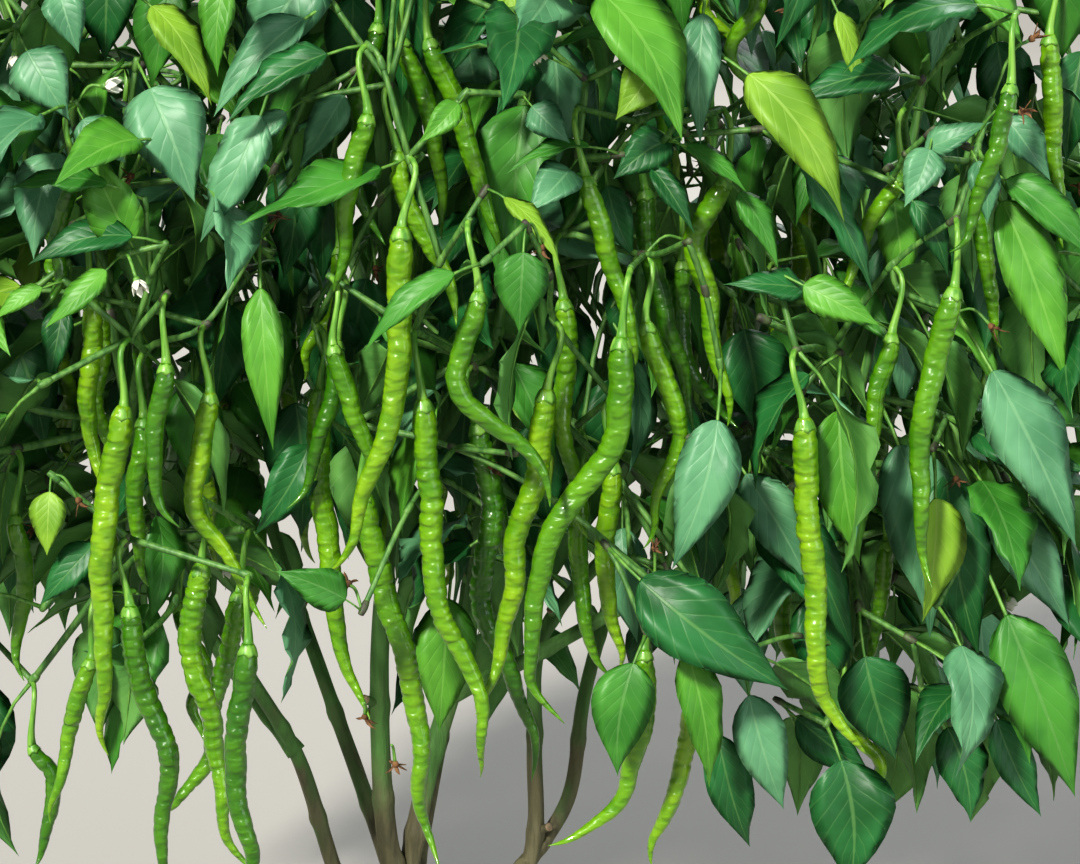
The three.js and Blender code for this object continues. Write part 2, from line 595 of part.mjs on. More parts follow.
// A shoot from deep in the twig that it grows from, through its nodes, to the leaf that carries it on, if
// there is one.
function shootSolid(first, endLeaf) {
  const centres = [sunk(first.from.at, first.at)];
  const radii = [ROOT_RADIUS];
  for (let node = first; node; node = node.next) {
    centres.push(node.at);
    radii.push(node.radius);
  }
  if (!endLeaf) {
    const [before, end] = centres.slice(-2);
    const past = end.clone().sub(before).setLength(TWIG_PAST_NODE);
    centres.splice(-1, 1, past.add(end));
    return skin(ringsAlong(centres, radii, TWIG_SIDES));
  }
  const rings = ringsAlong(centres, radii, TWIG_SIDES).slice(0, -1);
  const foot = leafSection(endLeaf, 0, radii.at(-1), radii.at(-1));
  return skin([...rings, ...untwisted(rings.at(-1), [foot, leafBlade(endLeaf)])], leafTip(endLeaf));
}

// A leaf from the side of its twig, with its root deep in it.
function sideLeafSolid(leaf) {
  const root = leafSection(leaf, -ROOT_DEPTH / leaf.length, ROOT_RADIUS, ROOT_RADIUS);
  return skin([root, leafBlade(leaf)], leafTip(leaf));
}

const shootEnd = (node) => (node.next ? shootEnd(node.next) : node);

// The leaf at a shoot's end that runs on from it, and doesn't turn back.
function leafRunningOn(first, leaves) {
  const { at, along } = shootEnd(first);
  const onwards = (leaf) => leafTip(leaf).sub(at).normalize().dot(along);
  return leaves.find((leaf) => leaf.node === at && onwards(leaf) > RUNS_ON);
}

function massSolid({ stem, nodes, pods, leaves }) {
  const items = [skin(ringsAlong(stem.map((node) => node.at), stem.map((node) => node.radius), STEM_SIDES))];
  const atEnds = new Set();
  for (const first of nodes.filter((node) => node.from && !node.goesOn)) {
    const endLeaf = leafRunningOn(first, leaves);
    items.push(shootSolid(first, endLeaf));
    atEnds.add(endLeaf);
  }
  items.push(...leaves.filter((leaf) => !atEnds.has(leaf)).map(sideLeafSolid), ...pods.map(podSolid));
  return largest(wasm.Manifold.union(items));
}

function meshOf(name, solid, material) {
  const { vertProperties, triVerts, numProp } = solid.getMesh();
  const positions = new Float32Array((vertProperties.length / numProp) * 3);
  for (let i = 0; i < positions.length / 3; i++) {
    positions.set(vertProperties.subarray(i * numProp, i * numProp + 3), i * 3);
  }
  const geometry = new THREE.BufferGeometry()
    .setAttribute("position", new THREE.BufferAttribute(positions, 3))
    .setIndex(new THREE.BufferAttribute(triVerts, 1));
  geometry.computeVertexNormals();
  const mesh = new THREE.Mesh(geometry, material);
  mesh.name = name;
  return mesh;
}

const bark = new THREE.MeshStandardMaterial({ color: 0x6d7d48, roughness: 0.75, metalness: 0 });
const greenBark = new THREE.MeshStandardMaterial({ color: 0x5f8a3c, roughness: 0.55, metalness: 0 });
const foliage = new THREE.MeshStandardMaterial({ color: 0x3f7a35, roughness: 0.5, metalness: 0 });

for (const limb of LIMBS) limb.rings = limbRings(limb);
for (const mass of MASSES) mass.centre = vector(mass.heart);

const plant = new THREE.Group();
plant.name = "chilli_pepper_plant";
for (const [name, solid] of Object.entries(limbSolids())) {
  plant.add(meshOf(name, solid, name === "trunk" ? bark : greenBark));
}
for (const mass of MASSES) plant.add(meshOf(mass.name, massSolid(growMass(mass)), foliage));

export default plant;
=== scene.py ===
# The looks of a chilli pepper plant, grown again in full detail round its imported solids.
#
# The plant grows by the same seeded rule as its solids: limbs along named lines, and masses that each send
# twigs, pods and leaves out from a stem, inside a space of their own. This script carries the rule on to
# finer twigs and more leaves, and gives everything its real form. Sizes are in millimetres until a mesh is
# made. -Y is the plant's front and +X is to the right of it.

import json
import math

import bpy
import numpy as np
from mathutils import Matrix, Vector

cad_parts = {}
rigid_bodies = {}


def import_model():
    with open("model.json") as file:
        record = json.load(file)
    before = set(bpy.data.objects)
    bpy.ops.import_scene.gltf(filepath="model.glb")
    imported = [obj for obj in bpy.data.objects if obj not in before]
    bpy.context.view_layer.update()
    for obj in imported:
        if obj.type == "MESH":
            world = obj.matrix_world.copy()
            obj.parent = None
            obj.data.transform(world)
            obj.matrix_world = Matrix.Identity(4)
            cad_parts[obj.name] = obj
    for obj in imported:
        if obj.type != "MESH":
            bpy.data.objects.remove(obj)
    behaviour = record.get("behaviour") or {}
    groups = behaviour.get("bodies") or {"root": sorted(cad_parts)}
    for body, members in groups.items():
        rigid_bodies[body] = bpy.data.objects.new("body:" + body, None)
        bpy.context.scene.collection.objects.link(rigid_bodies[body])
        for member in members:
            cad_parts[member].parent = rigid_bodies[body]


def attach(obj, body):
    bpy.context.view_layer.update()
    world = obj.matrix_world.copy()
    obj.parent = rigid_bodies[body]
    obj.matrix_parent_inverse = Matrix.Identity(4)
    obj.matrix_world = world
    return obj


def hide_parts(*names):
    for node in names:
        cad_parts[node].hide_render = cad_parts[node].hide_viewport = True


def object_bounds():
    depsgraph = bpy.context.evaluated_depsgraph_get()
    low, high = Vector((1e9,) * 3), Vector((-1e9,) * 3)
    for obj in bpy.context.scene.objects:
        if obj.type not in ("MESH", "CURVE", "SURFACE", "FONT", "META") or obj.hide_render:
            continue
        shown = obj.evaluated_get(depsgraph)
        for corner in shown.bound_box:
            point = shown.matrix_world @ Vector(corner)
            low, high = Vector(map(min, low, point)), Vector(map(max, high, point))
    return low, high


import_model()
cad_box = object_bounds()

MM = 0.001

# Limb sizes
TRUNK_FOOT_RADIUS = 16
TRUNK_RADIUS = 10.5
FLARE_HEIGHT = 45
LIMB_GAP = 0.35
MORE_STEPS = 2

# Twig sizes
STEM_RADIUS = 3.6
STEM_STEP = 48
STEM_STRAIGHT = 12
STEM_BEND = 0.2
TWIG_RADIUS = 2.5
TWIG_END_RADIUS = 1.7
TWIG_TAPER = 0.85
INTERNODE = 85
TWIG_RISE = 0.1
TWIG_CLEARANCE = 4
TWIG_TO_LEAF = 13
TWIG_TESTS = 8
WAYS_TRIED = 16
TURN_COST = 0.4
STRAIGHT = 0.6

# Leaf sizes
LEAF_LENGTH = 132
LEAF_SPREAD = 0.2
LEAF_WIDTH = 0.5
LEAF_WIDEST = 0.5
LEAF_ARCH = 0.07
LEAF_TURN = 2.2
LEAF_DROOP = (0.2, 1.3)
LEAF_ROLL = 0.9
TEST_SHARES = (0.2, 0.35, 0.5, 0.65, 0.8)
TEST_WIDTHS = (-1, -0.5, 0, 0.5, 1)
LEAF_PAST_BALL = 60
LEAF_ROUNDS = 2
LEAF_TRIES = 6
LEAF_APART = 19
LEAF_TO_TWIG = 13
LEAF_CLEARANCE = 7
LEAF_NEAR_NODE = 40
PLACE_CLEARANCE = 6
PLACES_TRIED = 400

# Pod sizes
POD_RADIUS = 7.6
FULL_POD = 200
SMALL_POD = 0.6
GROWN_DROP = (95, 210)
GROWN_LEAN = 60
GROWN_OUT = 30
GROWN_BENDS = (12, 26, -30)
LOWEST_POD = -0.3
POD_SHARES = np.array([0.25, 0.5, 0.75, 1])
POD_TESTS = 20
PEDICEL = 38
PEDICEL_SWAY = 0.12
PEDICEL_BACK = 0.3
PEDICEL_RADIUS = 2
POD_TO_LEAF = 8
POD_TO_POD = 3

# Spaces of the masses
BALL_TALLNESS = 2
BALL_MIDDLE = 0.35
SPACE_GAP = 1.5
CROWN_AXIS = np.array([20.0, 0.0, 600.0])
UP = np.array([0.0, 0.0, 1.0])

# The limbs. Each starts inside its parent, at the first point of its line, and ends where its mass begins.
LIMBS = [
    dict(name="trunk", radii=(TRUNK_RADIUS, 9.5), line=[(-1, 0, -20), (3, -2, 60), (1, 1, 120),
         (-6, 0, 180)]),
    dict(name="bough_leader", radii=(7.5, 4), line=[(-5, 0, 168), (-16, -14, 230), (-18, -22, 340),
         (-10, -30, 450), (-9, -46, 570), (-9, -58, 690), (-24, -66, 770)]),
    dict(name="bough_right_leader", radii=(7.2, 4), line=[(-4, 0, 172), (14, 0, 262), (38, 2, 346),
         (52, 0, 428), (68, -4, 499), (92, -24, 610), (118, -44, 700), (138, -60, 770)]),
    dict(name="bough_front_left", radii=(6, 4), line=[(2, -1, 66), (-24, -8, 120), (-50, -20, 196),
         (-72, -38, 284), (-104, -76, 362), (-134, -100, 440)]),
    dict(name="bough_right", radii=(6.8, 4), line=[(2, 1, 84), (48, 30, 122), (84, 54, 180), (86, 60, 262),
         (92, 60, 340), (150, 72, 410), (214, 84, 470)]),
    dict(name="bough_back_right", radii=(5.6, 4), line=[(76, 50, 168), (110, 76, 214), (122, 84, 290),
         (146, 112, 370), (176, 144, 440)]),
    dict(name="bough_back_left", radii=(6.2, 4), line=[(0, 1, 138), (-22, 36, 196), (-58, 84, 280),
         (-92, 128, 360), (-116, 150, 430)]),
    dict(name="bough_back_centre", radii=(6, 4), line=[(-2, 1, 154), (10, 40, 214), (26, 84, 296),
         (42, 128, 380), (52, 150, 440)]),
    dict(name="bough_front_centre", radii=(5, 4), line=[(-11, -30, 440), (4, -60, 480), (30, -92, 520),
         (46, -110, 556)]),
    dict(name="bough_front_right", radii=(5.2, 4), line=[(30, 1, 316), (66, -12, 336), (118, -34, 372),
         (180, -64, 418), (232, -84, 468)]),
    dict(name="bough_left", radii=(5, 4), line=[(-73, -39, 288), (-106, -30, 330), (-150, -6, 386),
         (-188, 20, 440), (-206, 36, 480)]),
    dict(name="bough_back_upper_left", radii=(4.6, 3.8), line=[(-9, -45, 562), (-34, -4, 620), (-60, 42, 680),
         (-76, 72, 740)]),
    dict(name="bough_back_upper_right", radii=(4.6, 3.8), line=[(80, -14, 556), (104, 24, 620),
         (124, 62, 690), (134, 84, 750)]),
    dict(name="bough_top", radii=(4.6, 3.8), line=[(-9, -52, 628), (8, -22, 700), (22, 4, 780),
         (26, 16, 850)]),
]

# The masses. Each has a ball of foliage round its heart, a stem from its bough up to the top point, and
# how many leaves and pods it grows by rule. No leaf grows on a node below the lowest height.
MASSES = [
    dict(name="foliage_front_centre", bough="bough_front_centre", heart=(80, -130, 640), ball=150,
         top=(86, -136, 800), leaves=28, pods=0, lowest=520, seed=11),
    dict(name="foliage_front_left", bough="bough_front_left", heart=(-190, -110, 600), ball=136,
         top=(-196, -120, 750), leaves=16, pods=0, lowest=440, seed=12),
    dict(name="foliage_front_right", bough="bough_front_right", heart=(320, -110, 590), ball=124,
         top=(330, -100, 770), leaves=21, pods=0, lowest=300, seed=13),
    dict(name="foliage_left", bough="bough_left", heart=(-260, 60, 630), ball=118,
         top=(-262, 60, 760), leaves=17, pods=3, lowest=430, seed=14),
    dict(name="foliage_right", bough="bough_right", heart=(310, 90, 560), ball=124,
         top=(312, 96, 760), leaves=20, pods=3, lowest=270, seed=15),
    dict(name="foliage_back_left", bough="bough_back_left", heart=(-145, 190, 620), ball=124,
         top=(-148, 192, 770), leaves=15, pods=3, lowest=430, seed=16),
    dict(name="foliage_back_centre", bough="bough_back_centre", heart=(50, 205, 565), ball=126,
         top=(54, 204, 770), leaves=17, pods=3, lowest=300, seed=17),
    dict(name="foliage_back_right", bough="bough_back_right", heart=(215, 220, 540), ball=118,
         top=(216, 222, 730), leaves=17, pods=3, lowest=270, seed=18),
    dict(name="foliage_upper_front_left", bough="bough_leader", heart=(-112, -84, 890), ball=134,
         top=(-100, -80, 1030), leaves=24, pods=2, lowest=760, seed=29),
    dict(name="foliage_upper_front_right", bough="bough_right_leader", heart=(176, -84, 890), ball=134,
         top=(170, -78, 1030), leaves=24, pods=2, lowest=730, seed=20),
    dict(name="foliage_upper_back_left", bough="bough_back_upper_left", heart=(-104, 120, 880), ball=126,
         top=(-100, 118, 1000), leaves=19, pods=2, lowest=720, seed=21),
    dict(name="foliage_upper_back_right", bough="bough_back_upper_right", heart=(164, 120, 880), ball=126,
         top=(156, 118, 1000), leaves=19, pods=2, lowest=710, seed=22),
    dict(name="foliage_top", bough="bough_top", heart=(40, 6, 985), ball=126,
         top=(42, 8, 1090), leaves=26, pods=1, lowest=840, seed=23),
]

# The pods that hang at the front. Each has its calyx's place, the drop to its tip, how far the tip lies to
# the right of the calyx, and its bends to the right at a quarter, half and three quarters of the drop.
FRONT_PODS = [
    dict(calyx=(-172, -195, 620), drop=122, lean=12, bends=(-3, -11, -12)),
    dict(calyx=(-176, -155, 614), drop=120, lean=2, bends=(2, -3, 2)),
    dict(calyx=(-150, -225, 562), drop=212, lean=-28, bends=(-4, -4, 5)),
    dict(calyx=(-146, -180, 546), drop=106, lean=-5, bends=(-2, -4, -2)),
    dict(calyx=(-152, -216, 440), drop=182, lean=14, bends=(0, 13, 4)),
    dict(calyx=(-123, -240, 590), drop=98, lean=-2, bends=(-3, -9, -6)),
    dict(calyx=(-103, -205, 566), drop=142, lean=28, bends=(-13, -24, -9)),
    dict(calyx=(-80, -240, 424), drop=166, lean=-1, bends=(-6, -8, -2)),
    dict(calyx=(-112, -195, 460), drop=200, lean=16, bends=(-12, -5, -3)),
    dict(calyx=(-95, -150, 430), drop=150, lean=-52, bends=(5, 8, 14)),
    dict(calyx=(-184, -172, 394), drop=104, lean=-32, bends=(-1, -1, 2)),
    dict(calyx=(-228, -146, 330), drop=80, lean=1, bends=(11, 12, 6)),
    dict(calyx=(-228, -170, 484), drop=102, lean=-2, bends=(5, 4, 2)),
    dict(calyx=(-6, -136, 776), drop=134, lean=-4, bends=(-8, -11, -9)),
    dict(calyx=(8, -150, 768), drop=118, lean=20, bends=(7, 9, 9)),
    dict(calyx=(26, -190, 770), drop=124, lean=44, bends=(2, 1, -1)),
    dict(calyx=(8, -200, 706), drop=98, lean=38, bends=(-6, -5, 0)),
    dict(calyx=(12, -240, 668), drop=206, lean=-33, bends=(6, 12, 0)),
    dict(calyx=(56, -270, 636), drop=116, lean=47, bends=(-20, -33, -14)),
    dict(calyx=(22, -225, 566), drop=234, lean=37, bends=(-5, -11, 3)),
    dict(calyx=(-16, -190, 504), drop=236, lean=36, bends=(3, 10, 6)),
    dict(calyx=(52, -165, 540), drop=222, lean=46, bends=(-3, -20, -12)),
    dict(calyx=(94, -205, 568), drop=196, lean=-39, bends=(3, 1, 5)),
    dict(calyx=(136, -245, 606), drop=230, lean=-48, bends=(9, -15, -15)),
    dict(calyx=(104, -160, 614), drop=150, lean=10, bends=(0, -5, -1)),
    dict(calyx=(116, -218, 694), drop=110, lean=32, bends=(0, 0, 1)),
    dict(calyx=(152, -195, 606), drop=138, lean=7, bends=(10, 17, 3)),
    dict(calyx=(152, -160, 680), drop=144, lean=33, bends=(-5, -5, -1)),
    dict(calyx=(176, -135, 634), drop=104, lean=34, bends=(-9, -16, -14)),
    dict(calyx=(198, -185, 690), drop=145, lean=12, bends=(-20, -14, -14)),
    dict(calyx=(152, -212, 412), drop=128, lean=-52, bends=(14, 22, 24)),
    dict(calyx=(180, -185, 404), drop=136, lean=-28, bends=(10, 13, 8)),
    dict(calyx=(134, -180, 518), drop=130, lean=6, bends=(-5, -8, -4)),
    dict(calyx=(114, -140, 492), drop=122, lean=14, bends=(-4, -7, -3)),
    dict(calyx=(-42, -165, 560), drop=204, lean=26, bends=(-9, -8, -12)),
    dict(calyx=(-30, -186, 594), drop=104, lean=-24, bends=(4, 4, 2)),
    dict(calyx=(-30, -214, 596), drop=100, lean=15, bends=(4, 9, 10)),
    dict(calyx=(242, -230, 556), drop=210, lean=36, bends=(-6, -9, -14)),
    dict(calyx=(326, -230, 632), drop=176, lean=-12, bends=(-7, -11, -5)),
    dict(calyx=(352, -240, 748), drop=96, lean=-28, bends=(2, 4, 4)),
    dict(calyx=(344, -185, 680), drop=92, lean=13, bends=(1, 3, 3)),
    dict(calyx=(390, -150, 770), drop=126, lean=8, bends=(0, 1, 3)),
    dict(calyx=(302, -170, 690), drop=82, lean=-36, bends=(-3, -3, -2)),
    dict(calyx=(304, -140, 460), drop=88, lean=-12, bends=(1, 3, 3)),
]


def unit(vectors):
    """The vectors at length 1, along the last axis."""
    vectors = np.asarray(vectors, float)
    return vectors / np.linalg.norm(vectors, axis=-1, keepdims=True)


def between(low, high, share):
    """The value at a share of the way between two."""
    return low + (high - low) * share


def around(reach, share):
    """The value at a share of a range that lies evenly round 0."""
    return reach * (share - 0.5)


def seeded(seed):
    """Draws from 0 to 1 that are the same in every run."""
    state = seed * 2654435761 % 2**32

    def draw():
        nonlocal state
        state = (state * 1664525 + 1013904223) % 2**32
        return state / 2**32

    return draw


def smooth(points, count):
    """A smooth line through the points, as count + 1 points."""
    line = np.asarray(points, float)
    line = np.vstack([2 * line[0] - line[1], line, 2 * line[-1] - line[-2]])
    spots = np.linspace(0, len(line) - 3, count + 1)
    start = np.minimum(spots.astype(int), len(line) - 4)
    t = (spots - start)[:, None]
    before, here, after, beyond = (line[start + step] for step in range(4))
    leaving, arriving = (after - before) / 2, (beyond - here) / 2
    bend = 3 * (after - here) - 2 * leaving - arriving
    return here + leaving * t + bend * t**2 + (2 * (here - after) + leaving + arriving) * t**3


def to_segments(points, starts, ends):
    """How far each point lies from each stretch between a start and an end."""
    along = ends - starts
    share = ((points[:, None] - starts) * along).sum(2) / (along**2).sum(1)
    nearest = starts + np.clip(share, 0, 1)[..., None] * along
    return np.linalg.norm(points[:, None] - nearest, axis=2)


def limb_radii(limb, centres):
    """A limb's radius at each of its centres."""
    taper = between(*limb["radii"], np.linspace(0, 1, len(centres)))
    if limb["name"] != "trunk":
        return taper
    flare = np.maximum(0, 1 - centres[:, 2] / FLARE_HEIGHT)
    return taper + (TRUNK_FOOT_RADIUS - TRUNK_RADIUS) * flare**2


for limb in LIMBS:
    limb["centres"] = smooth(limb["line"], len(limb["line"]) + MORE_STEPS)
    limb["rings"] = limb_radii(limb, limb["centres"])

LIMB_STARTS = np.vstack([limb["centres"][:-1] for limb in LIMBS])
LIMB_ENDS = np.vstack([limb["centres"][1:] for limb in LIMBS])
LIMB_RADII = np.concatenate([limb["rings"][:-1] for limb in LIMBS])


def to_limbs(points):
    """How far each point lies from the nearest limb's bark."""
    return (to_segments(points, LIMB_STARTS, LIMB_ENDS) - LIMB_RADII).min(1)


HEARTS = np.array([mass["heart"] for mass in MASSES], float)
BALLS = np.array([mass["ball"] for mass in MASSES], float)
SQUASH = np.array([1, 1, 1 / BALL_TALLNESS])


def depths(points):
    """Each point's depth in each mass's ball, negative inside it. The mass with the lowest owns the point."""
    return (((points[:, None] - HEARTS) * SQUASH) ** 2).sum(2) - BALLS**2


def owns(mass, points):
    """Whether each point lies in the mass's own space."""
    which = MASSES.index(mass)
    depth = depths(points)
    apart = np.linalg.norm((HEARTS - HEARTS[which]) * SQUASH**2, axis=1)
    others = np.arange(len(MASSES)) != which
    room = (depth[:, others] - depth[:, [which]]) / (2 * apart[others])
    return (room > SPACE_GAP).all(1)


def in_reach(mass, points):
    """Whether each point lies no further out of the mass's ball than leaf tips do."""
    depth = depths(points)[:, MASSES.index(mass)]
    return depth < (mass["ball"] + LEAF_PAST_BALL) ** 2 - mass["ball"] ** 2


def pod_line(pod):
    """A pod's centre line, from its node on the twig, by the pedicel, to its tip."""
    calyx = np.array(pod["calyx"], float)
    pedicel = np.array([-pod["lean"] * PEDICEL_SWAY, PEDICEL * PEDICEL_BACK, PEDICEL])
    body = calyx + POD_SHARES[:, None] * np.array([pod["lean"], pod.get("out", 0), -pod["drop"]])
    body[:, 0] += [*pod["bends"], 0]
    return np.vstack([calyx + pedicel, calyx, body])


for pod in FRONT_PODS:
    pod["line"] = pod_line(pod)


def pod_size(pod):
    return POD_RADIUS * between(SMALL_POD, 1, min(1, pod["drop"] / FULL_POD))


def to_pods(points, pods):
    """How far each point lies from the nearest pod's skin or its pedicel's."""
    if not pods:
        return np.full(len(points), np.inf)
    starts = np.vstack([pod["line"][:-1] for pod in pods])
    ends = np.vstack([pod["line"][1:] for pod in pods])
    radii = np.concatenate([[PEDICEL_RADIUS] + [pod_size(pod)] * (len(pod["line"]) - 2) for pod in pods])
    return (to_segments(points, starts, ends) - radii).min(1)


def leaf_axes(leaf):
    """A leaf's directions: along its chord, across it and out of its upper face."""
    out = (leaf["node"] - CROWN_AXIS) * [1, 1, 0]
    out = unit(out)
    turn = leaf["turn"]
    out = out * math.cos(turn) + np.cross(UP, out) * math.sin(turn)
    side = np.cross(out, UP)
    along = out * math.cos(leaf["droop"]) - UP * math.sin(leaf["droop"])
    level = np.cross(side, along)
    face = level * math.cos(leaf["roll"]) + np.cross(along, level) * math.sin(leaf["roll"])
    return along, np.cross(along, face), face


def arch_at(share):
    """A leaf's height over its chord, as a share of its length, at a share of the way along it."""
    if share < LEAF_WIDEST:
        return LEAF_ARCH * share / LEAF_WIDEST
    return LEAF_ARCH * (1 - 2 * (share - LEAF_WIDEST) / (1 - LEAF_WIDEST))


def leaf_tests(leaf):
    """Points all over a leaf, to test where it lies."""
    along, across, face = leaf_axes(leaf)
    length = leaf["length"]
    points = [leaf["node"] + along * length + face * arch_at(1) * length]
    for share in TEST_SHARES:
        spread = min(share / LEAF_WIDEST, (1 - share) / (1 - LEAF_WIDEST))
        middle = leaf["node"] + along * share * length + face * arch_at(share) * length
        points += [middle + across * wide * spread * length * LEAF_WIDTH / 2 for wide in TEST_WIDTHS]
    return np.array(points)


def stem_nodes(mass):
    """The nodes of a mass's stem, from its bough's tip up to its top."""
    centres = next(limb["centres"] for limb in LIMBS if limb["name"] == mass["bough"])
    along = unit(centres[-1] - centres[-2])
    start = centres[-1] + along * LIMB_GAP
    straight = start + along * STEM_STRAIGHT
    rise = np.linalg.norm(straight - mass["top"])
    bent = smooth([straight, straight + along * rise * STEM_BEND, mass["top"]], math.ceil(rise / STEM_STEP))
    line = [start, *bent]
    nodes = []
    for i, at in enumerate(line):
        ahead = line[i + 1] - at if i + 1 < len(line) else at - line[i - 1]
        radius = between(STEM_RADIUS, TWIG_RADIUS, i / (len(line) - 1))
        nodes.append(dict(at=at, along=unit(ahead), radius=radius, parent=None, next=None, goes_on=False))
    return nodes


def extend(parent, at):
    """A stretch of twig from a node to a new one. The first that runs on nearly straight continues it."""
    along = unit(at - parent["at"])
    radius = max(TWIG_END_RADIUS, min(TWIG_RADIUS, parent["radius"] * TWIG_TAPER))
    goes_on = bool(parent["parent"] and not parent["next"] and along @ parent["along"] > STRAIGHT)
    node = dict(at=at, along=along, radius=radius, parent=parent, next=None, goes_on=goes_on)
    if goes_on:
        parent["next"] = node
    return node


def to_twigs(points, grown, place):
    """How far each point lies from the middle of the nearest twig that doesn't meet a place."""
    apart = [ends for ends in grown["stretches"] if ends[0] is not place and ends[1] is not place]
    if not apart:
        return np.full(len(points), np.inf)
    starts, ends = np.array(apart).transpose(1, 0, 2)
    return to_segments(points, starts, ends).min(1)


def to_leaves(points, grown):
    """How far each point lies from the nearest leaf's test points."""
    if not grown["leaves"]:
        return np.full(len(points), np.inf)
    tests = np.vstack([leaf["tests"] for leaf in grown["leaves"]])
    return np.linalg.norm(points[:, None] - tests, axis=2).min(1)


def way_to(mass, grown, target, own_pod=None, to_leaf=TWIG_TO_LEAF):
    """The cheapest clear way to a target from a mass's twigs, a short one that doesn't turn back: the node
    that it leaves and the places of its new nodes, or None."""
    pods = [pod for pod in grown["pods"] if pod is not own_pod]
    ways = []
    for node in grown["nodes"]:
        way = target - node["at"]
        length = np.linalg.norm(way)
        ways.append((length + TURN_COST * (length - way @ node["along"]), length, node))
    for _, length, node in sorted(ways, key=lambda way: way[0])[:WAYS_TRIED]:
        count = max(1, math.ceil(length / INTERNODE))

        def places(t):
            t = np.asarray(t)[:, None]
            straight = node["at"] + (target - node["at"]) * t
            return straight + UP * length * TWIG_RISE * np.sin(np.pi * t)

        tests = places(np.arange(1, TWIG_TESTS * count + 1) / (TWIG_TESTS * count))
        if (owns(mass, tests).all() and to_limbs(tests).min() > TWIG_CLEARANCE
                and to_pods(tests, pods).min() > TWIG_CLEARANCE
                and to_twigs(tests, grown, node["at"]).min() > TWIG_CLEARANCE
                and to_leaves(tests, grown).min() > to_leaf):
            return node, [*places(np.arange(1, count) / count), target]
    return None


def grow_to(grown, way):
    """Grows a twig along a way."""
    parent, places = way
    for at in places:
        grown["stretches"].append((parent["at"], at))
        parent = extend(parent, at)
        grown["nodes"].append(parent)


def leaf_fits(mass, leaf, grown, apart, to_twig, clearance):
    """Whether a leaf stays in its mass's space and reach, and clear of all that has grown there."""
    tests = leaf["tests"]
    own = np.linalg.norm(tests - leaf["node"], axis=1) < LEAF_NEAR_NODE
    return bool(owns(mass, tests).all() and in_reach(mass, tests).all()
                and to_limbs(tests).min() > clearance
                and (own | (to_pods(tests, grown["pods"]) > POD_TO_LEAF)).all()
                and to_leaves(tests, grown).min() > apart
                and to_twigs(tests, grown, leaf["node"]).min() > to_twig)


def leaf_at(mass, place, grown, draw):
    """The first leaf of a few tries that fits at a place, or None. Every try takes the same draws."""
    found = None
    for _ in range(LEAF_TRIES):
        turn, droop, roll, size = (draw() for _ in range(4))
        leaf = dict(node=place, turn=around(LEAF_TURN, turn), droop=between(*LEAF_DROOP, droop),
                    roll=around(LEAF_ROLL, roll), length=LEAF_LENGTH * (1 + around(2 * LEAF_SPREAD, size)))
        if found:
            continue
        leaf["tests"] = leaf_tests(leaf)
        if leaf_fits(mass, leaf, grown, LEAF_APART, LEAF_TO_TWIG, LEAF_CLEARANCE):
            found = leaf
    return found


def place_in(mass, draw):
    """A place in the mass's ball, more often near its outside than its heart."""
    turn = 2 * math.pi * draw()
    rise = 2 * draw() - 1
    far = mass["ball"] * between(BALL_MIDDLE, 1, math.sqrt(draw()))
    flat = far * math.sqrt(1 - rise * rise)
    offset = [flat * math.cos(turn), flat * math.sin(turn), far * rise * BALL_TALLNESS]
    return np.array(offset) + mass["heart"]


def grown_pods(mass, pods, draw):
    """The pods that a mass grows by rule, each clear of the limbs and of the pods before it."""
    made = []
    clearance = POD_RADIUS + POD_TO_POD
    for _ in range(PLACES_TRIED):
        if len(made) == mass["pods"]:
            break
        calyx = place_in(mass, draw)
        size, lean, sway, out = (draw() for _ in range(4))
        pod = dict(calyx=calyx, drop=between(*GROWN_DROP, size), lean=around(GROWN_LEAN, lean),
                   out=around(GROWN_OUT, out), bends=[around(reach, sway) for reach in GROWN_BENDS])
        pod["line"] = pod_line(pod)
        low = calyx[2] - mass["heart"][2] < LOWEST_POD * mass["ball"] * BALL_TALLNESS
        tests = smooth(pod["line"], POD_TESTS)
        if (not low and owns(mass, tests).all() and to_limbs(tests).min() > clearance
                and to_pods(tests, pods + made).min() > clearance):
            made.append(pod)
    return made


def grow_mass(mass):
    """All that the solid of a mass holds: its stem, its twigs, its pods and its leaves."""
    draw = seeded(mass["seed"])
    stem = stem_nodes(mass)

    def reach(place):
        return np.linalg.norm(place - stem[0]["at"])

    front = [pod for pod in FRONT_PODS if owns(mass, np.array([pod["calyx"]], float))[0]]
    pods = sorted(front + grown_pods(mass, front, draw), key=lambda pod: reach(pod["line"][0]))
    stretches = [(before["at"], node["at"]) for before, node in zip(stem, stem[1:])]
    grown = dict(stem=stem, nodes=stem[1:], stretches=stretches, pods=pods, leaves=[])
    joined = []
    for pod in pods:
        way = way_to(mass, grown, pod["line"][0], pod)
        if way:
            grow_to(grown, way)
            joined.append(pod)
    grown["pods"] = joined

    targets = []
    for _ in range(PLACES_TRIED):
        if len(targets) == mass["leaves"]:
            break
        place = place_in(mass, draw)
        spot = place[None]
        if (place[2] > mass["lowest"] and owns(mass, spot)[0] and to_limbs(spot)[0] > PLACE_CLEARANCE
                and to_pods(spot, joined)[0] > PLACE_CLEARANCE):
            targets.append(place)
    for target in sorted(targets, key=reach):
        leaf = leaf_at(mass, target, grown, draw)
        way = way_to(mass, grown, target)
        if leaf and way:
            grow_to(grown, way)
            grown["leaves"].append(leaf)
    for _ in range(LEAF_ROUNDS):
        for node in [node for node in grown["nodes"] if node["at"][2] > mass["lowest"]]:
            leaf = leaf_at(mass, node["at"], grown, draw)
            if leaf:
                grown["leaves"].append(leaf)
    return grown


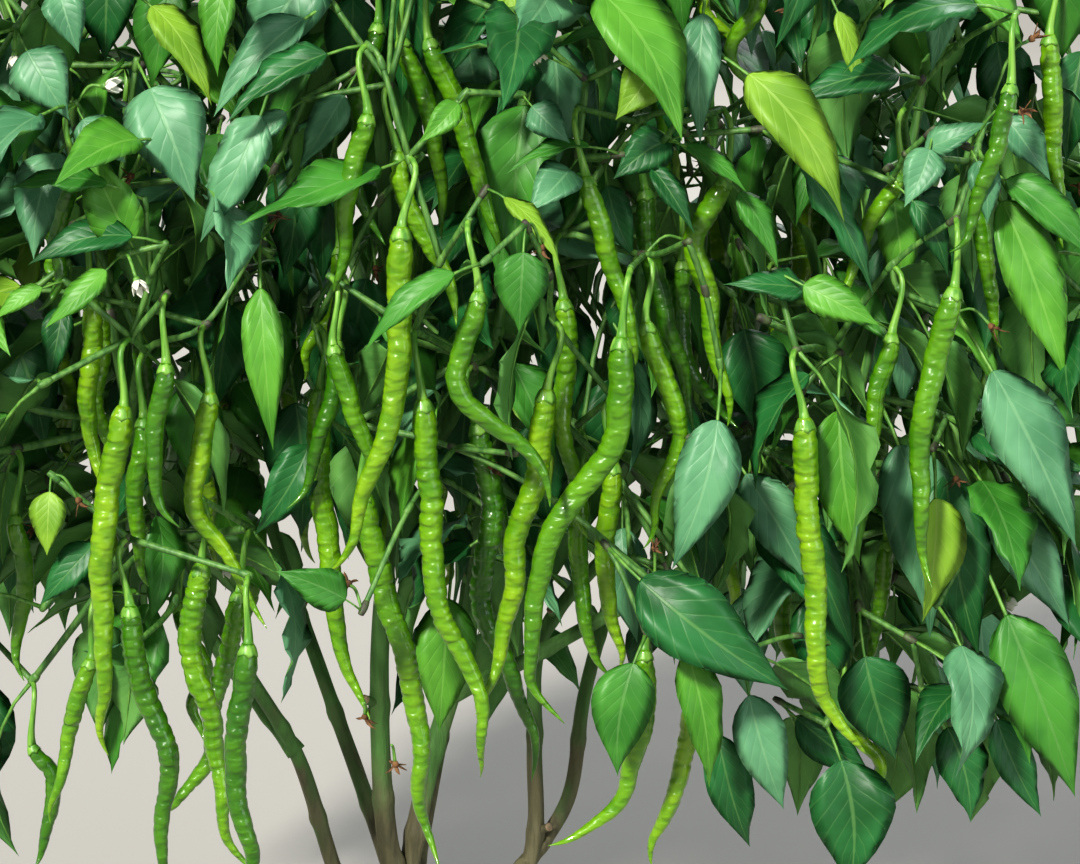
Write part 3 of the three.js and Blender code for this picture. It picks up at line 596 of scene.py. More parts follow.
# The camera, which looks at the plant from the photograph's side. Its picture is 1080 by 864 pixels.
PICTURE_WIDTH = 1080
PICTURE_HEIGHT = 864
FOCAL_PIXELS = 2600
PITCH = math.radians(12)
AIM = np.array([90.0, -170.0, 535.0])
CAMERA_DISTANCE = 1560
SENSOR = 36
HIDING_PIXELS = 13
AHEAD = np.array([0, math.cos(PITCH), -math.sin(PITCH)])
ABOVE = np.array([0, math.sin(PITCH), math.cos(PITCH)])
CAMERA_PLACE = AIM - AHEAD * CAMERA_DISTANCE


def seen(points):
    """Where points show in the picture, in pixels from its middle, and how far they lie ahead."""
    offsets = points - CAMERA_PLACE
    distances = offsets @ AHEAD
    across = offsets[:, 0] / distances * FOCAL_PIXELS
    down = -(offsets @ ABOVE) / distances * FOCAL_PIXELS
    return np.stack([across, down], 1), distances


def place_at(pixel, depth):
    """The place that shows at a pixel of the photograph's frame and lies at a depth, counted along Y."""
    across = (pixel[0] - PICTURE_WIDTH / 2) / FOCAL_PIXELS
    down = (pixel[1] - PICTURE_HEIGHT / 2) / FOCAL_PIXELS
    sight = AHEAD + np.array([across, 0, 0]) - ABOVE * down
    return CAMERA_PLACE + sight * (depth - CAMERA_PLACE[1]) / sight[1]


# The leaves that show best. Each has the pixels where its blade starts and ends in the 1080 by 864 picture,
# the depth of both, how far it faces the camera instead of the sky, its width as a share of its length, and
# its tint. The dark tint is a deep green that also paints shade, the blue one paints a sheen of the sky, and
# the bright one paints sunlight.
FRONT_LEAVES = [
    # upper left
    dict(base=(150, 94), tip=(193, 200), depths=(-196, -226), facing=0.9, width=0.7, tint="blue"),
    dict(base=(257, 108), tip=(196, 240), depths=(-200, -225), facing=0.7, width=0.42, tint="blue"),
    dict(base=(304, 30), tip=(212, 114), depths=(-190, -215), facing=0.8, width=0.4, tint="blue"),
    dict(base=(334, 62), tip=(224, 118), depths=(-218, -238), facing=0.6, width=0.42, tint="dark"),
    dict(base=(378, 170), tip=(238, 216), depths=(-205, -245), facing=0.5, width=0.4, tint="mid"),
    dict(base=(134, 246), tip=(84, 142), depths=(-225, -240), facing=0.9, width=0.58, tint="bright"),
    dict(base=(112, 196), tip=(8, 182), depths=(-235, -250), facing=0.5, width=0.4, tint="mid"),
    dict(base=(132, 248), tip=(26, 260), depths=(-235, -245), facing=0.55, width=0.42, tint="dark"),
    dict(base=(28, 50), tip=(68, 118), depths=(-205, -225), facing=0.9, width=0.8, tint="blue"),
    dict(base=(62, -10), tip=(78, 52), depths=(-215, -230), facing=0.9, width=0.75, tint="blue"),
    dict(base=(88, 118), tip=(126, 162), depths=(-215, -225), facing=0.9, width=0.75, tint="blue"),
    dict(base=(66, 160), tip=(32, 258), depths=(-190, -215), facing=0.85, width=0.55, tint="blue"),
    dict(base=(150, 18), tip=(214, 102), depths=(-185, -205), facing=0.4, width=0.42, tint="yellow"),
    dict(base=(232, -20), tip=(216, 76), depths=(-190, -205), facing=0.6, width=0.45, tint="bright"),
    dict(base=(312, -40), tip=(236, 72), depths=(-162, -178), facing=0.95, width=0.6, tint="blue"),
    dict(base=(290, 112), tip=(242, 152), depths=(-180, -190), facing=0.9, width=0.5, tint="blue"),
    dict(base=(345, 92), tip=(298, 168), depths=(-175, -190), facing=0.9, width=0.5, tint="blue"),
    dict(base=(263, 200), tip=(233, 284), depths=(-190, -215), facing=0.8, width=0.45, tint="mid"),
    dict(base=(48, 290), tip=(-8, 318), depths=(-230, -240), facing=0.6, width=0.4, tint="bright"),
    dict(base=(102, 272), tip=(42, 326), depths=(-235, -250), facing=0.6, width=0.4, tint="bright"),
    # middle
    dict(base=(552, 72), tip=(440, 45), depths=(-200, -235), facing=0.5, width=0.36, tint="dark"),
    dict(base=(632, 46), tip=(556, 43), depths=(-205, -225), facing=0.3, width=0.4, tint="mid"),
    dict(base=(655, 70), tip=(616, 118), depths=(-225, -240), facing=0.9, width=0.8, tint="yellow"),
    dict(base=(566, 170), tip=(528, 210), depths=(-210, -235), facing=0.8, width=0.8, tint="blue"),
    dict(base=(524, 250), tip=(519, 333), depths=(-262, -270), facing=1, width=0.72, tint="mid"),
    dict(base=(454, 283), tip=(361, 348), depths=(-282, -296), facing=0.6, width=0.3, tint="mid"),
    dict(base=(455, 104), tip=(418, 142), depths=(-232, -245), facing=0.8, width=0.6, tint="bright"),
    dict(base=(534, 106), tip=(570, 142), depths=(-215, -228), facing=0.9, width=0.75, tint="blue"),
    dict(base=(594, 158), tip=(506, 168), depths=(-215, -232), facing=0.4, width=0.32, tint="mid"),
    dict(base=(670, 145), tip=(614, 178), depths=(-200, -215), facing=0.9, width=0.7, tint="dark"),
    dict(base=(612, 184), tip=(636, 260), depths=(-170, -180), facing=0.9, width=0.5, tint="dark"),
    dict(base=(652, 172), tip=(696, 232), depths=(-205, -225), facing=0.6, width=0.42, tint="dark"),
    dict(base=(706, 20), tip=(701, 144), depths=(-205, -225), facing=0.8, width=0.34, tint="blue"),
    dict(base=(684, 152), tip=(748, 188), depths=(-210, -230), facing=0.4, width=0.4, tint="mid"),
    dict(base=(504, 206), tip=(562, 262), depths=(-225, -250), facing=0.4, width=0.28, tint="yellow"),
    dict(base=(500, -30), tip=(503, 52), depths=(-200, -215), facing=0.7, width=0.3, tint="yellow"),
    dict(base=(709, 416), tip=(672, 570), depths=(-215, -240), facing=0.85, width=0.42, tint="blue"),
    dict(base=(650, 580), tip=(790, 690), depths=(-222, -250), facing=0.9, width=0.52, tint="dark"),
    dict(base=(640, 668), tip=(618, 778), depths=(-236, -250), facing=0.95, width=0.56, tint="mid"),
    dict(base=(342, 602), tip=(277, 572), depths=(-262, -275), facing=0.9, width=0.62, tint="mid"),
    dict(base=(262, 292), tip=(272, 452), depths=(-190, -210), facing=0.8, width=0.3, tint="bright"),
    dict(base=(304, 443), tip=(252, 536), depths=(-150, -165), facing=0.9, width=0.5, tint="dark"),
    # upper right
    dict(base=(738, 88), tip=(848, 218), depths=(-220, -250), facing=0.7, width=0.4, tint="yellow"),
    dict(base=(800, 284), tip=(880, 324), depths=(-212, -232), facing=0.9, width=0.52, tint="bright"),
    dict(base=(890, 84), tip=(786, 100), depths=(-210, -230), facing=0.6, width=0.42, tint="dark"),
    dict(base=(790, 168), tip=(880, 292), depths=(-205, -225), facing=0.4, width=0.28, tint="dark"),
    dict(base=(1000, 204), tip=(1072, 382), depths=(-205, -235), facing=0.7, width=0.36, tint="bright"),
    dict(base=(1004, 186), tip=(1104, 262), depths=(-205, -230), facing=0.6, width=0.4, tint="mid"),
    dict(base=(926, 146), tip=(990, 120), depths=(-215, -230), facing=0.8, width=0.5, tint="blue"),
    dict(base=(926, 148), tip=(905, 206), depths=(-225, -240), facing=0.9, width=0.75, tint="blue"),
    dict(base=(974, 166), tip=(988, 224), depths=(-228, -240), facing=0.9, width=0.55, tint="blue"),
    dict(base=(934, -30), tip=(932, 72), depths=(-190, -210), facing=0.9, width=0.45, tint="blue"),
    dict(base=(732, 194), tip=(780, 266), depths=(-200, -215), facing=0.6, width=0.4, tint="mid"),
    dict(base=(798, 290), tip=(726, 280), depths=(-200, -215), facing=0.6, width=0.45, tint="dark"),
    dict(base=(1006, 120), tip=(1052, 180), depths=(-180, -195), facing=0.9, width=0.6, tint="blue"),
    dict(base=(832, 10), tip=(864, 100), depths=(-210, -225), facing=0.4, width=0.3, tint="yellow"),
    dict(base=(905, 204), tip=(950, 276), depths=(-190, -205), facing=0.8, width=0.4, tint="dark"),
    # lower right
    dict(base=(846, 404), tip=(862, 566), depths=(-190, -215), facing=0.9, width=0.46, tint="bright"),
    dict(base=(986, 368), tip=(1082, 546), depths=(-195, -225), facing=0.7, width=0.4, tint="blue"),
    dict(base=(1000, 604), tip=(1082, 800), depths=(-175, -200), facing=0.8, width=0.4, tint="mid"),
    dict(base=(752, 690), tip=(786, 812), depths=(-190, -200), facing=0.8, width=0.45, tint="blue"),
    dict(base=(722, 735), tip=(752, 850), depths=(-165, -175), facing=0.8, width=0.45, tint="dark"),
    dict(base=(832, 764), tip=(850, 890), depths=(-165, -180), facing=0.9, width=0.7, tint="dark"),
    dict(base=(868, 646), tip=(898, 762), depths=(-165, -180), facing=0.9, width=0.7, tint="dark"),
    dict(base=(942, 660), tip=(1034, 722), depths=(-175, -190), facing=0.7, width=0.5, tint="dark"),
    dict(base=(934, 722), tip=(972, 824), depths=(-150, -165), facing=0.9, width=0.55, tint="dark"),
    dict(base=(1000, 716), tip=(1044, 818), depths=(-150, -165), facing=0.8, width=0.45, tint="dark"),
    dict(base=(800, 718), tip=(874, 776), depths=(-140, -150), facing=0.9, width=0.5, tint="dark"),
    dict(base=(739, 470), tip=(814, 590), depths=(-165, -180), facing=0.85, width=0.42, tint="blue"),
    dict(base=(780, 497), tip=(858, 656), depths=(-150, -165), facing=0.8, width=0.32, tint="dark"),
    dict(base=(890, 455), tip=(933, 642), depths=(-150, -170), facing=0.9, width=0.42, tint="blue"),
    dict(base=(955, 476), tip=(983, 660), depths=(-160, -180), facing=0.9, width=0.4, tint="dark"),
    dict(base=(990, 500), tip=(1074, 628), depths=(-165, -180), facing=0.8, width=0.4, tint="blue"),
    dict(base=(800, 600), tip=(826, 706), depths=(-130, -140), facing=0.9, width=0.6, tint="dark"),
    dict(base=(676, 640), tip=(712, 792), depths=(-222, -232), facing=0.7, width=0.3, tint="bright"),
]

# Leaves further in, behind the pods and the leaves at the front. Each has the depth where its blade starts,
# and all of them face the camera and lean towards it alike. Most take the dark tint, which paints the shade
# that falls there.
INNER_FACING = 0.9
INNER_SLOPE = 10
INNER_LEAVES = [
    dict(base=(318, 300), tip=(330, 424), depth=-70, width=0.6, tint="dark"),
    dict(base=(372, 280), tip=(352, 400), depth=-80, width=0.6, tint="dark"),
    dict(base=(404, 330), tip=(424, 450), depth=-70, width=0.6, tint="dark"),
    dict(base=(468, 300), tip=(450, 420), depth=-80, width=0.6, tint="mid"),
    dict(base=(470, 400), tip=(462, 520), depth=-70, width=0.55, tint="dark"),
    dict(base=(560, 300), tip=(572, 420), depth=-70, width=0.6, tint="dark"),
    dict(base=(620, 270), tip=(636, 380), depth=-80, width=0.6, tint="dark"),
    dict(base=(610, 380), tip=(600, 500), depth=-70, width=0.55, tint="dark"),
    dict(base=(540, 420), tip=(552, 540), depth=-60, width=0.5, tint="dark"),
    dict(base=(290, 400), tip=(300, 540), depth=-80, width=0.55, tint="dark"),
    dict(base=(356, 430), tip=(348, 556), depth=-70, width=0.5, tint="dark"),
    dict(base=(232, 300), tip=(214, 410), depth=-80, width=0.6, tint="dark"),
    dict(base=(196, 380), tip=(206, 500), depth=-90, width=0.5, tint="mid"),
    dict(base=(600, 60), tip=(606, 160), depth=-90, width=0.6, tint="dark"),
    dict(base=(686, 470), tip=(700, 600), depth=-100, width=0.6, tint="dark"),
    dict(base=(740, 330), tip=(760, 440), depth=-110, width=0.7, tint="dark"),
    dict(base=(1000, 40), tip=(1020, 150), depth=-90, width=0.6, tint="dark"),
    dict(base=(940, 110), tip=(956, 220), depth=-90, width=0.6, tint="dark"),
    dict(base=(112, -40), tip=(104, 62), depth=-110, width=0.7, tint="dark"),
    dict(base=(172, -14), tip=(150, 90), depth=-120, width=0.6, tint="mid"),
    dict(base=(334, 166), tip=(322, 284), depth=-90, width=0.6, tint="dark"),
    dict(base=(290, 170), tip=(282, 280), depth=-100, width=0.55, tint="dark"),
    dict(base=(352, -4), tip=(348, 104), depth=-100, width=0.55, tint="dark"),
    dict(base=(396, 44), tip=(406, 150), depth=-100, width=0.5, tint="mid"),
    dict(base=(346, 380), tip=(338, 490), depth=-40, width=0.5, tint="dark"),
    dict(base=(548, 34), tip=(562, 140), depth=-110, width=0.6, tint="dark"),
    dict(base=(694, -66), tip=(686, 40), depth=-110, width=0.5, tint="mid"),
    dict(base=(822, -14), tip=(814, 92), depth=-120, width=0.6, tint="dark"),
    dict(base=(1070, -50), tip=(1064, 60), depth=-120, width=0.7, tint="mid"),
    dict(base=(1084, 56), tip=(1068, 164), depth=-120, width=0.6, tint="dark"),
    dict(base=(1086, 206), tip=(1066, 320), depth=-120, width=0.6, tint="mid"),
]

# The leaves that show best at the left edge, in the same form as FRONT_LEAVES
LEFT_LEAVES = [
    dict(base=(62, 308), tip=(47, 384), depths=(-175, -190), facing=0.8, width=0.45, tint="dark"),
    dict(base=(74, 420), tip=(14, 456), depths=(-168, -182), facing=0.5, width=0.45, tint="bright"),
    dict(base=(86, 454), tip=(52, 536), depths=(-168, -182), facing=0.6, width=0.4, tint="dark"),
    dict(base=(50, 494), tip=(46, 556), depths=(-210, -220), facing=0.9, width=0.6, tint="yellow"),
    dict(base=(94, 545), tip=(38, 604), depths=(-195, -210), facing=0.8, width=0.5, tint="dark"),
]
PLACED_LEAVES = FRONT_LEAVES + INNER_LEAVES + LEFT_LEAVES
FRONT_STALK = 0.24
# The leaf tints, and the draws below which a grown leaf takes each. The dark tint also paints shade, the blue
# one a sheen of the sky and the bright one sunlight.
LEAF_TINTS = ("dark", "mid", "blue", "bright", "yellow")
TINT_SHARES = (0.34, 0.64, 0.84, 0.96)
FRONT_TWIG_CLEARANCE = 2

for spec in INNER_LEAVES:
    spec.update(depths=(spec["depth"], spec["depth"] - INNER_SLOPE), facing=INNER_FACING)


def front_leaf(spec):
    """One of the placed leaves, whose chord and roll follow from where it shows."""
    base, tip = (place_at(spec[key], depth) for key, depth in zip(("base", "tip"), spec["depths"]))
    along = unit(tip - base)
    length = np.linalg.norm(tip - base) / (1 - FRONT_STALK)
    node = tip - along * length
    level_out = unit((node - CROWN_AXIS) * [1, 1, 0])
    turn = math.atan2(np.cross(level_out, along)[2], level_out @ along)
    leaf = dict(node=node, turn=turn, droop=math.asin(-along[2]), roll=0, length=length, width=spec["width"],
                tint=LEAF_TINTS.index(spec["tint"]))
    _, across, level = leaf_axes(leaf)
    towards = between(UP, -AHEAD, spec["facing"])
    leaf["roll"] = math.atan2(towards @ across, towards @ level)
    leaf["tests"] = leaf_tests(leaf)
    return leaf


def grow_front_leaves(mass, grown):
    """Joins the placed leaves in a mass's space to its twigs, where a clear way leads to them."""
    for spec in PLACED_LEAVES:
        leaf = front_leaf(spec)
        if not owns(mass, leaf["node"][None])[0]:
            continue
        way = way_to(mass, grown, leaf["node"], to_leaf=FRONT_TWIG_CLEARANCE)
        if way:
            grow_to(grown, way)
            grown["leaves"].append(leaf)


# Finer growth than the solids hold
FINE_SEED = 100
FINE_PLACES = 90
FINE_ROUNDS = 4
FINE_LOWER = 110
FINE_TWIG_TO_LEAF = 5
FINE_APART = 7
FINE_TO_TWIG = 2
FINE_CLEARANCE = 4
FINE_LENGTH = (74, 128)
FINE_TURN = 5.2
FINE_DROOP = (0.1, 1.45)
FINE_ROLL = 1.5
SMALL_PODS = 6
SMALL_DROP = (30, 120)


SHOWN_PODS = np.vstack([smooth(pod["line"], POD_TESTS) for pod in FRONT_PODS])
SHOWN_PLACES, SHOWN_DISTANCES = seen(SHOWN_PODS)


def hides_pod(tests):
    """Whether any of the points lies in front of a pod that hangs at the plant's front."""
    places, distances = seen(tests)
    close = np.linalg.norm(places[:, None] - SHOWN_PLACES, axis=2) < HIDING_PIXELS
    return bool((close & (distances[:, None] < SHOWN_DISTANCES)).any())


def in_box(tests):
    """Whether points lie within the solids' box."""
    low, high = (np.array(corner) / MM for corner in cad_box)
    return bool((tests > low).all() and (tests < high).all())


def finer_leaf(mass, place, grown, draw):
    """The first of a few smaller leaves that fits at a place, or None. Every try takes the same draws."""
    found = None
    for _ in range(LEAF_TRIES):
        turn, droop, roll, size = (draw() for _ in range(4))
        if found:
            continue
        leaf = dict(node=place, turn=around(FINE_TURN, turn), droop=between(*FINE_DROOP, droop),
                    roll=around(FINE_ROLL, roll), length=between(*FINE_LENGTH, size))
        leaf["tests"] = leaf_tests(leaf)
        if (leaf_fits(mass, leaf, grown, FINE_APART, FINE_TO_TWIG, FINE_CLEARANCE)
                and in_box(leaf["tests"]) and not hides_pod(leaf["tests"])):
            found = leaf
    return found


def small_pod(mass, node, grown, draw):
    """A young pod at a node, where it is clear of what hangs there, or None."""
    size, lean, out, sway = (draw() for _ in range(4))
    calyx = node["at"] - [0, PEDICEL * PEDICEL_BACK, PEDICEL]
    pod = dict(calyx=calyx, drop=between(*SMALL_DROP, size), lean=around(GROWN_LEAN, lean),
               out=around(GROWN_OUT, out), bends=[around(reach / 2, sway) for reach in GROWN_BENDS])
    pod["line"] = pod_line(pod)
    pod["line"][0] = node["at"]
    tests = smooth(pod["line"][1:], POD_TESTS)
    if (owns(mass, tests).all() and to_limbs(tests).min() > POD_RADIUS
            and to_pods(tests, grown["pods"]).min() > POD_RADIUS):
        return pod
    return None


def grow_finer(mass, grown):
    """Carries a mass on to finer twigs, more leaves and young pods, within the same space and reach."""
    draw = seeded(mass["seed"] + FINE_SEED)
    grown["leaves"] = [leaf for leaf in grown["leaves"] if not hides_pod(leaf["tests"])]
    grow_front_leaves(mass, grown)
    for node in grown["nodes"][:: max(1, len(grown["nodes"]) // SMALL_PODS)]:
        pod = small_pod(mass, node, grown, draw)
        if pod and node["at"][2] > mass["lowest"]:
            grown["pods"].append(pod)
    places = [place_in(mass, draw) for _ in range(FINE_PLACES)]
    for place in places:
        spot = place[None]
        if (not owns(mass, spot)[0] or to_limbs(spot)[0] <= PLACE_CLEARANCE
                or place[2] < mass["lowest"] - FINE_LOWER
                or to_pods(spot, grown["pods"])[0] < PLACE_CLEARANCE):
            continue
        leaf = finer_leaf(mass, place, grown, draw)
        way = way_to(mass, grown, place, to_leaf=FINE_TWIG_TO_LEAF)
        if leaf and way:
            grow_to(grown, way)
            grown["leaves"].append(leaf)
    for _ in range(FINE_ROUNDS):
        for node in [node for node in grown["nodes"] if node["at"][2] > mass["lowest"] - FINE_LOWER]:
            leaf = finer_leaf(mass, node["at"], grown, draw)
            if leaf:
                grown["leaves"].append(leaf)
    return grown


# Meshes
class Soup:
    """The vertices and faces of many small pieces, gathered to become one mesh."""

    def __init__(self):
        self.points = []
        self.faces = []
        self.looks = []
        self.maps = []
        self.count = 0

    def add(self, points, faces, looks, maps=None):
        """Adds a piece. A triangle's fourth corner is -1. looks is each face's material, or one for all."""
        points = points.reshape(-1, 3)
        self.points.append(points)
        self.faces.append(np.where(faces < 0, -1, faces + self.count))
        self.looks.append(np.broadcast_to(looks, len(faces)))
        self.maps.append(np.zeros((len(points), 2)) if maps is None else maps.reshape(-1, 2))
        self.count += len(points)

    def mesh(self, name, materials):
        """The object that holds all pieces, on the plant's one body."""
        points = np.vstack(self.points) * MM
        faces = np.vstack(self.faces)
        corners = faces[faces >= 0]
        sizes = (faces >= 0).sum(1)
        mesh = bpy.data.meshes.new(name)
        mesh.vertices.add(len(points))
        mesh.vertices.foreach_set("co", points.astype(np.float32).ravel())
        mesh.loops.add(len(corners))
        mesh.loops.foreach_set("vertex_index", corners.astype(np.int32))
        mesh.polygons.add(len(faces))
        mesh.polygons.foreach_set("loop_start", (np.cumsum(sizes) - sizes).astype(np.int32))
        mesh.polygons.foreach_set("material_index", np.concatenate(self.looks).astype(np.int32))
        mesh.polygons.foreach_set("use_smooth", np.ones(len(faces), bool))
        layer = mesh.uv_layers.new(name="shape")
        layer.data.foreach_set("uv", np.vstack(self.maps)[corners].astype(np.float32).ravel())
        for material in materials:
            mesh.materials.append(material)
        mesh.update(calc_edges=True)
        piece = bpy.data.objects.new(name, mesh)
        bpy.context.scene.collection.objects.link(piece)
        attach(piece, "root")
        return piece


def turns_round(count):
    """The turns of places that lie evenly round a circle."""
    return 2 * np.pi * np.arange(count) / count


def turn_apart(turns, middle):
    """How far turns lie from a middle one, the short way round."""
    return (turns - middle + np.pi) % (2 * np.pi) - np.pi


def axes_along(centres):
    """Directions across a line of points and beside those, carried along it without twist."""
    along = unit(np.gradient(centres, axis=0))
    across = np.empty_like(along)
    last = np.array([0.0, 1.0, 0.0] if abs(along[0][0]) > math.sqrt(0.5) else [1.0, 0.0, 0.0])
    for i, direction in enumerate(along):
        last = last - (last @ direction) * direction
        last = last / math.sqrt(last @ last)
        across[i] = last
    return across, np.cross(along, across)


def rings_round(centres, radii, sides):
    """Rings of points round a line. radii is one number a ring, or one for each of its points."""
    across, beside = axes_along(centres)
    turns = turns_round(sides)
    radii = np.broadcast_to(np.asarray(radii).reshape(len(centres), -1), (len(centres), sides))
    return (centres[:, None] + across[:, None] * (radii * np.cos(turns))[..., None]
            + beside[:, None] * (radii * np.sin(turns))[..., None])


def add_tube(soup, rings, looks, maps=None):
    """Adds a closed tube through rings. looks is one material, or one for each stretch between rings."""
    count, sides = rings.shape[:2]
    step, side = np.meshgrid(np.arange(count - 1), np.arange(sides), indexing="ij")
    a = (step * sides + side).ravel()
    b = (step * sides + (side + 1) % sides).ravel()
    walls = np.stack([a, b, b + sides, a + sides], 1)
    side = np.arange(sides)
    following = (side + 1) % sides
    none = np.full(sides, -1)
    last = (count - 1) * sides
    foot = np.stack([np.full(sides, count * sides), following, side, none], 1)
    head = np.stack([np.full(sides, count * sides + 1), last + side, last + following, none], 1)
    points = np.vstack([rings.reshape(-1, 3), rings[0].mean(0), rings[-1].mean(0)])
    looks = np.broadcast_to(looks, count - 1)
    looks = np.concatenate([np.repeat(looks, sides), np.full(sides, looks[0]), np.full(sides, looks[-1])])
    if maps is not None:
        maps = np.vstack([maps.reshape(-1, 2), maps[0].mean(0), maps[-1].mean(0)])
    soup.add(points, np.vstack([walls, foot, head]), looks, maps)


def lengths_along(line):
    """How far along a line each of its points lies."""
    return np.concatenate([[0], np.cumsum(np.linalg.norm(np.diff(line, axis=0), axis=1))])


def points_at(line, spots):
    """The points that lie as far along a line as the spots say."""
    lengths = lengths_along(line)
    return np.stack([np.interp(spots, lengths, line[:, axis]) for axis in range(3)], 1)


def evenly(line, spacing):
    """The same line with points at even steps of about a spacing, and how far along it each lies."""
    length = lengths_along(line)[-1]
    spots = np.linspace(0, length, max(2, round(length / spacing) + 1))
    return points_at(line, spots), spots


def ripples(draw, places, waves, count):
    """A smooth random relief from -1 to 1. places is a list of coordinates and waves their frequencies."""
    total = 0
    for _ in range(count):
        angle = 2 * math.pi * draw()
        for place, wave in zip(places, waves):
            angle = angle + place * wave * (0.5 + draw()) * (1 if draw() < 0.5 else -1)
        total = total + np.sin(angle)
    return total / count


# Limbs, whose bark has ribs, nodes with leaf scars, and fine relief
LINE_STEPS = 40
LIMB_SPACING = 2.4
TRUNK_SIDES = 48
BOUGH_SIDES = 26
RIBS = 5
RIB_DEPTH = 0.055
RIB_WAVE = 0.01
RIB_WANDER = 2
RIB_TURN = 6
BARK_RELIEF = 0.16
TRUNK_RELIEF = 0.5
RELIEF_WAVES = ((0.12, 3), (0.05, 7))
RELIEF_COUNT = 9
NODE_SPACING = (48, 92)
NODE_SWELL = 0.17
NODE_LENGTH = 6.5
NODE_TURN = 2.4
SCAR_HEIGHT = 0.9
SCAR_LENGTH = 3.2
SCAR_WIDTH = 0.55
SCAR_HOLLOW = 0.8
COLLAR = 0.35
COLLAR_LENGTH = 12
ROOT_LOBES = 4
ROOT_LOBE_DEPTH = 1.8
ROOT_LOBE_TURN = 1

# What is left of shoots that were cut off. The last two looks are the dry end's.
STUB_CHANCE = 0.22
STUB_LOWEST = 40
STUB_LENGTH = (5, 12)
STUB_RISE = 0.5
STUB_SIDES = 10
STUB_WIDEST = 6
STUB_REACH = np.array([0, 0.5, 0.8, 0.97, 1.0])
STUB_THICKNESS = np.array([0.75, 0.55, 0.5, 0.52, 0.38])
STUB_LOOKS = [0, 0, 1, 1]


def bark_relief(is_trunk, spots, radii, turns, draw):
    """How far a limb's bark stands out of its round form, by its ribs, fine relief, nodes and leaf scars, and
    how far along it and at which turn each cut shoot stands."""
    spot, thick = spots[:, None], radii[:, None]
    ribs = np.cos(RIBS * turns + ripples(draw, [spot], [RIB_WAVE], 2) * RIB_WANDER + draw() * RIB_TURN)
    fine = sum(ripples(draw, [spot, turns], waves, RELIEF_COUNT) for waves in RELIEF_WAVES)
    relief = thick * RIB_DEPTH * ribs + (TRUNK_RELIEF if is_trunk else BARK_RELIEF) * fine
    stubs = []
    at = between(*NODE_SPACING, draw()) / 2
    side = 2 * math.pi * draw()
    while at < spots[-1]:
        far = spot - spots[0] - at
        relief = relief + thick * NODE_SWELL * np.exp(-((far / NODE_LENGTH) ** 2))
        side += NODE_TURN
        apart = turn_apart(turns, side) / SCAR_WIDTH
        scar = np.exp(-((far / SCAR_LENGTH) ** 2) - apart**2)
        relief = relief + SCAR_HEIGHT * scar * (1 - SCAR_HOLLOW * scar**3)
        if draw() < STUB_CHANCE and at > STUB_LOWEST:
            stubs.append((at + spots[0], side))
        at += between(*NODE_SPACING, draw())
    return relief, stubs


def add_stub(soup, start, out, radius, draw):
    """What is left of a shoot that was cut off: a short peg with a dry end."""
    reach = STUB_REACH * (radius + between(*STUB_LENGTH, draw()))
    thick = STUB_THICKNESS * min(radius, STUB_WIDEST)
    add_tube(soup, rings_round(start + out * reach[:, None], thick, STUB_SIDES), STUB_LOOKS)


def limb_mesh(limb, materials):
    """A limb with its bark, which stands for the limb's solid."""
    draw = seeded(len(limb["name"]) + int(limb["line"][-1][2]))
    is_trunk = limb["name"] == "trunk"
    sides = TRUNK_SIDES if is_trunk else BOUGH_SIDES
    turns = turns_round(sides)
    line = smooth(limb["line"], LINE_STEPS * len(limb["line"]))
    centres, spots = evenly(line, LIMB_SPACING)
    radii = np.interp(spots, lengths_along(line), limb_radii(limb, line))
    if is_trunk:
        above = centres[:, 2] > 0
        centres, spots, radii = centres[above], spots[above], radii[above]
    relief, stubs = bark_relief(is_trunk, spots, radii, turns, draw)
    if is_trunk:
        flare = np.maximum(0, 1 - centres[:, 2] / FLARE_HEIGHT)[:, None] ** 2
        relief = relief + ROOT_LOBE_DEPTH * flare * np.cos(ROOT_LOBES * turns + ROOT_LOBE_TURN)
    else:
        relief = relief + radii[:, None] * COLLAR * np.exp(-((spots[:, None] / COLLAR_LENGTH) ** 2))
    rings = rings_round(centres, radii[:, None] + relief, sides)
    rings[..., 2] = np.maximum(rings[..., 2], 0)
    if is_trunk:
        rings[0][:, 2] = 0
    soup = Soup()
    add_tube(soup, rings, 0)
    across, beside = axes_along(centres)
    for at, side in stubs:
        i = min(int(np.searchsorted(spots, at)), len(spots) - 1)
        out = across[i] * math.cos(side) + beside[i] * math.sin(side)
        add_stub(soup, centres[i], unit(out + UP * STUB_RISE), radii[i], draw)
    piece = soup.mesh(limb["name"] + "_bark", materials)
    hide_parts(limb["name"])


# Twigs, ribbed along their length, with a joint at each node, which is darker at some
TWIG_SEED = 200
TWIG_STEPS = 5
TWIG_SIDES = 8
TWIG_RIBS = 4
TWIG_RIB = 0.09
TWIG_UNEVEN = 0.05
UNEVEN_WAVE = 1.3
UNEVEN_COUNT = 3
JOINT_REACH = np.array([-4.5, -2.5, 0, 2.5, 4.5])
JOINT_SWELL = np.array([1.02, 1.26, 1.4, 1.24, 1.0])
DARK_JOINTS = 0.4
TWIG_LOOK = 0
JOINT_LOOK = 1
STEM_INSIDE = 8
STEM_FOOT = 0.97
STEM_SWELL = 1.05
FORK_SWELL = 1.12
TWIG_SLIM = 0.94
RIBBED = 1 + TWIG_RIB * np.cos(TWIG_RIBS * turns_round(TWIG_SIDES))


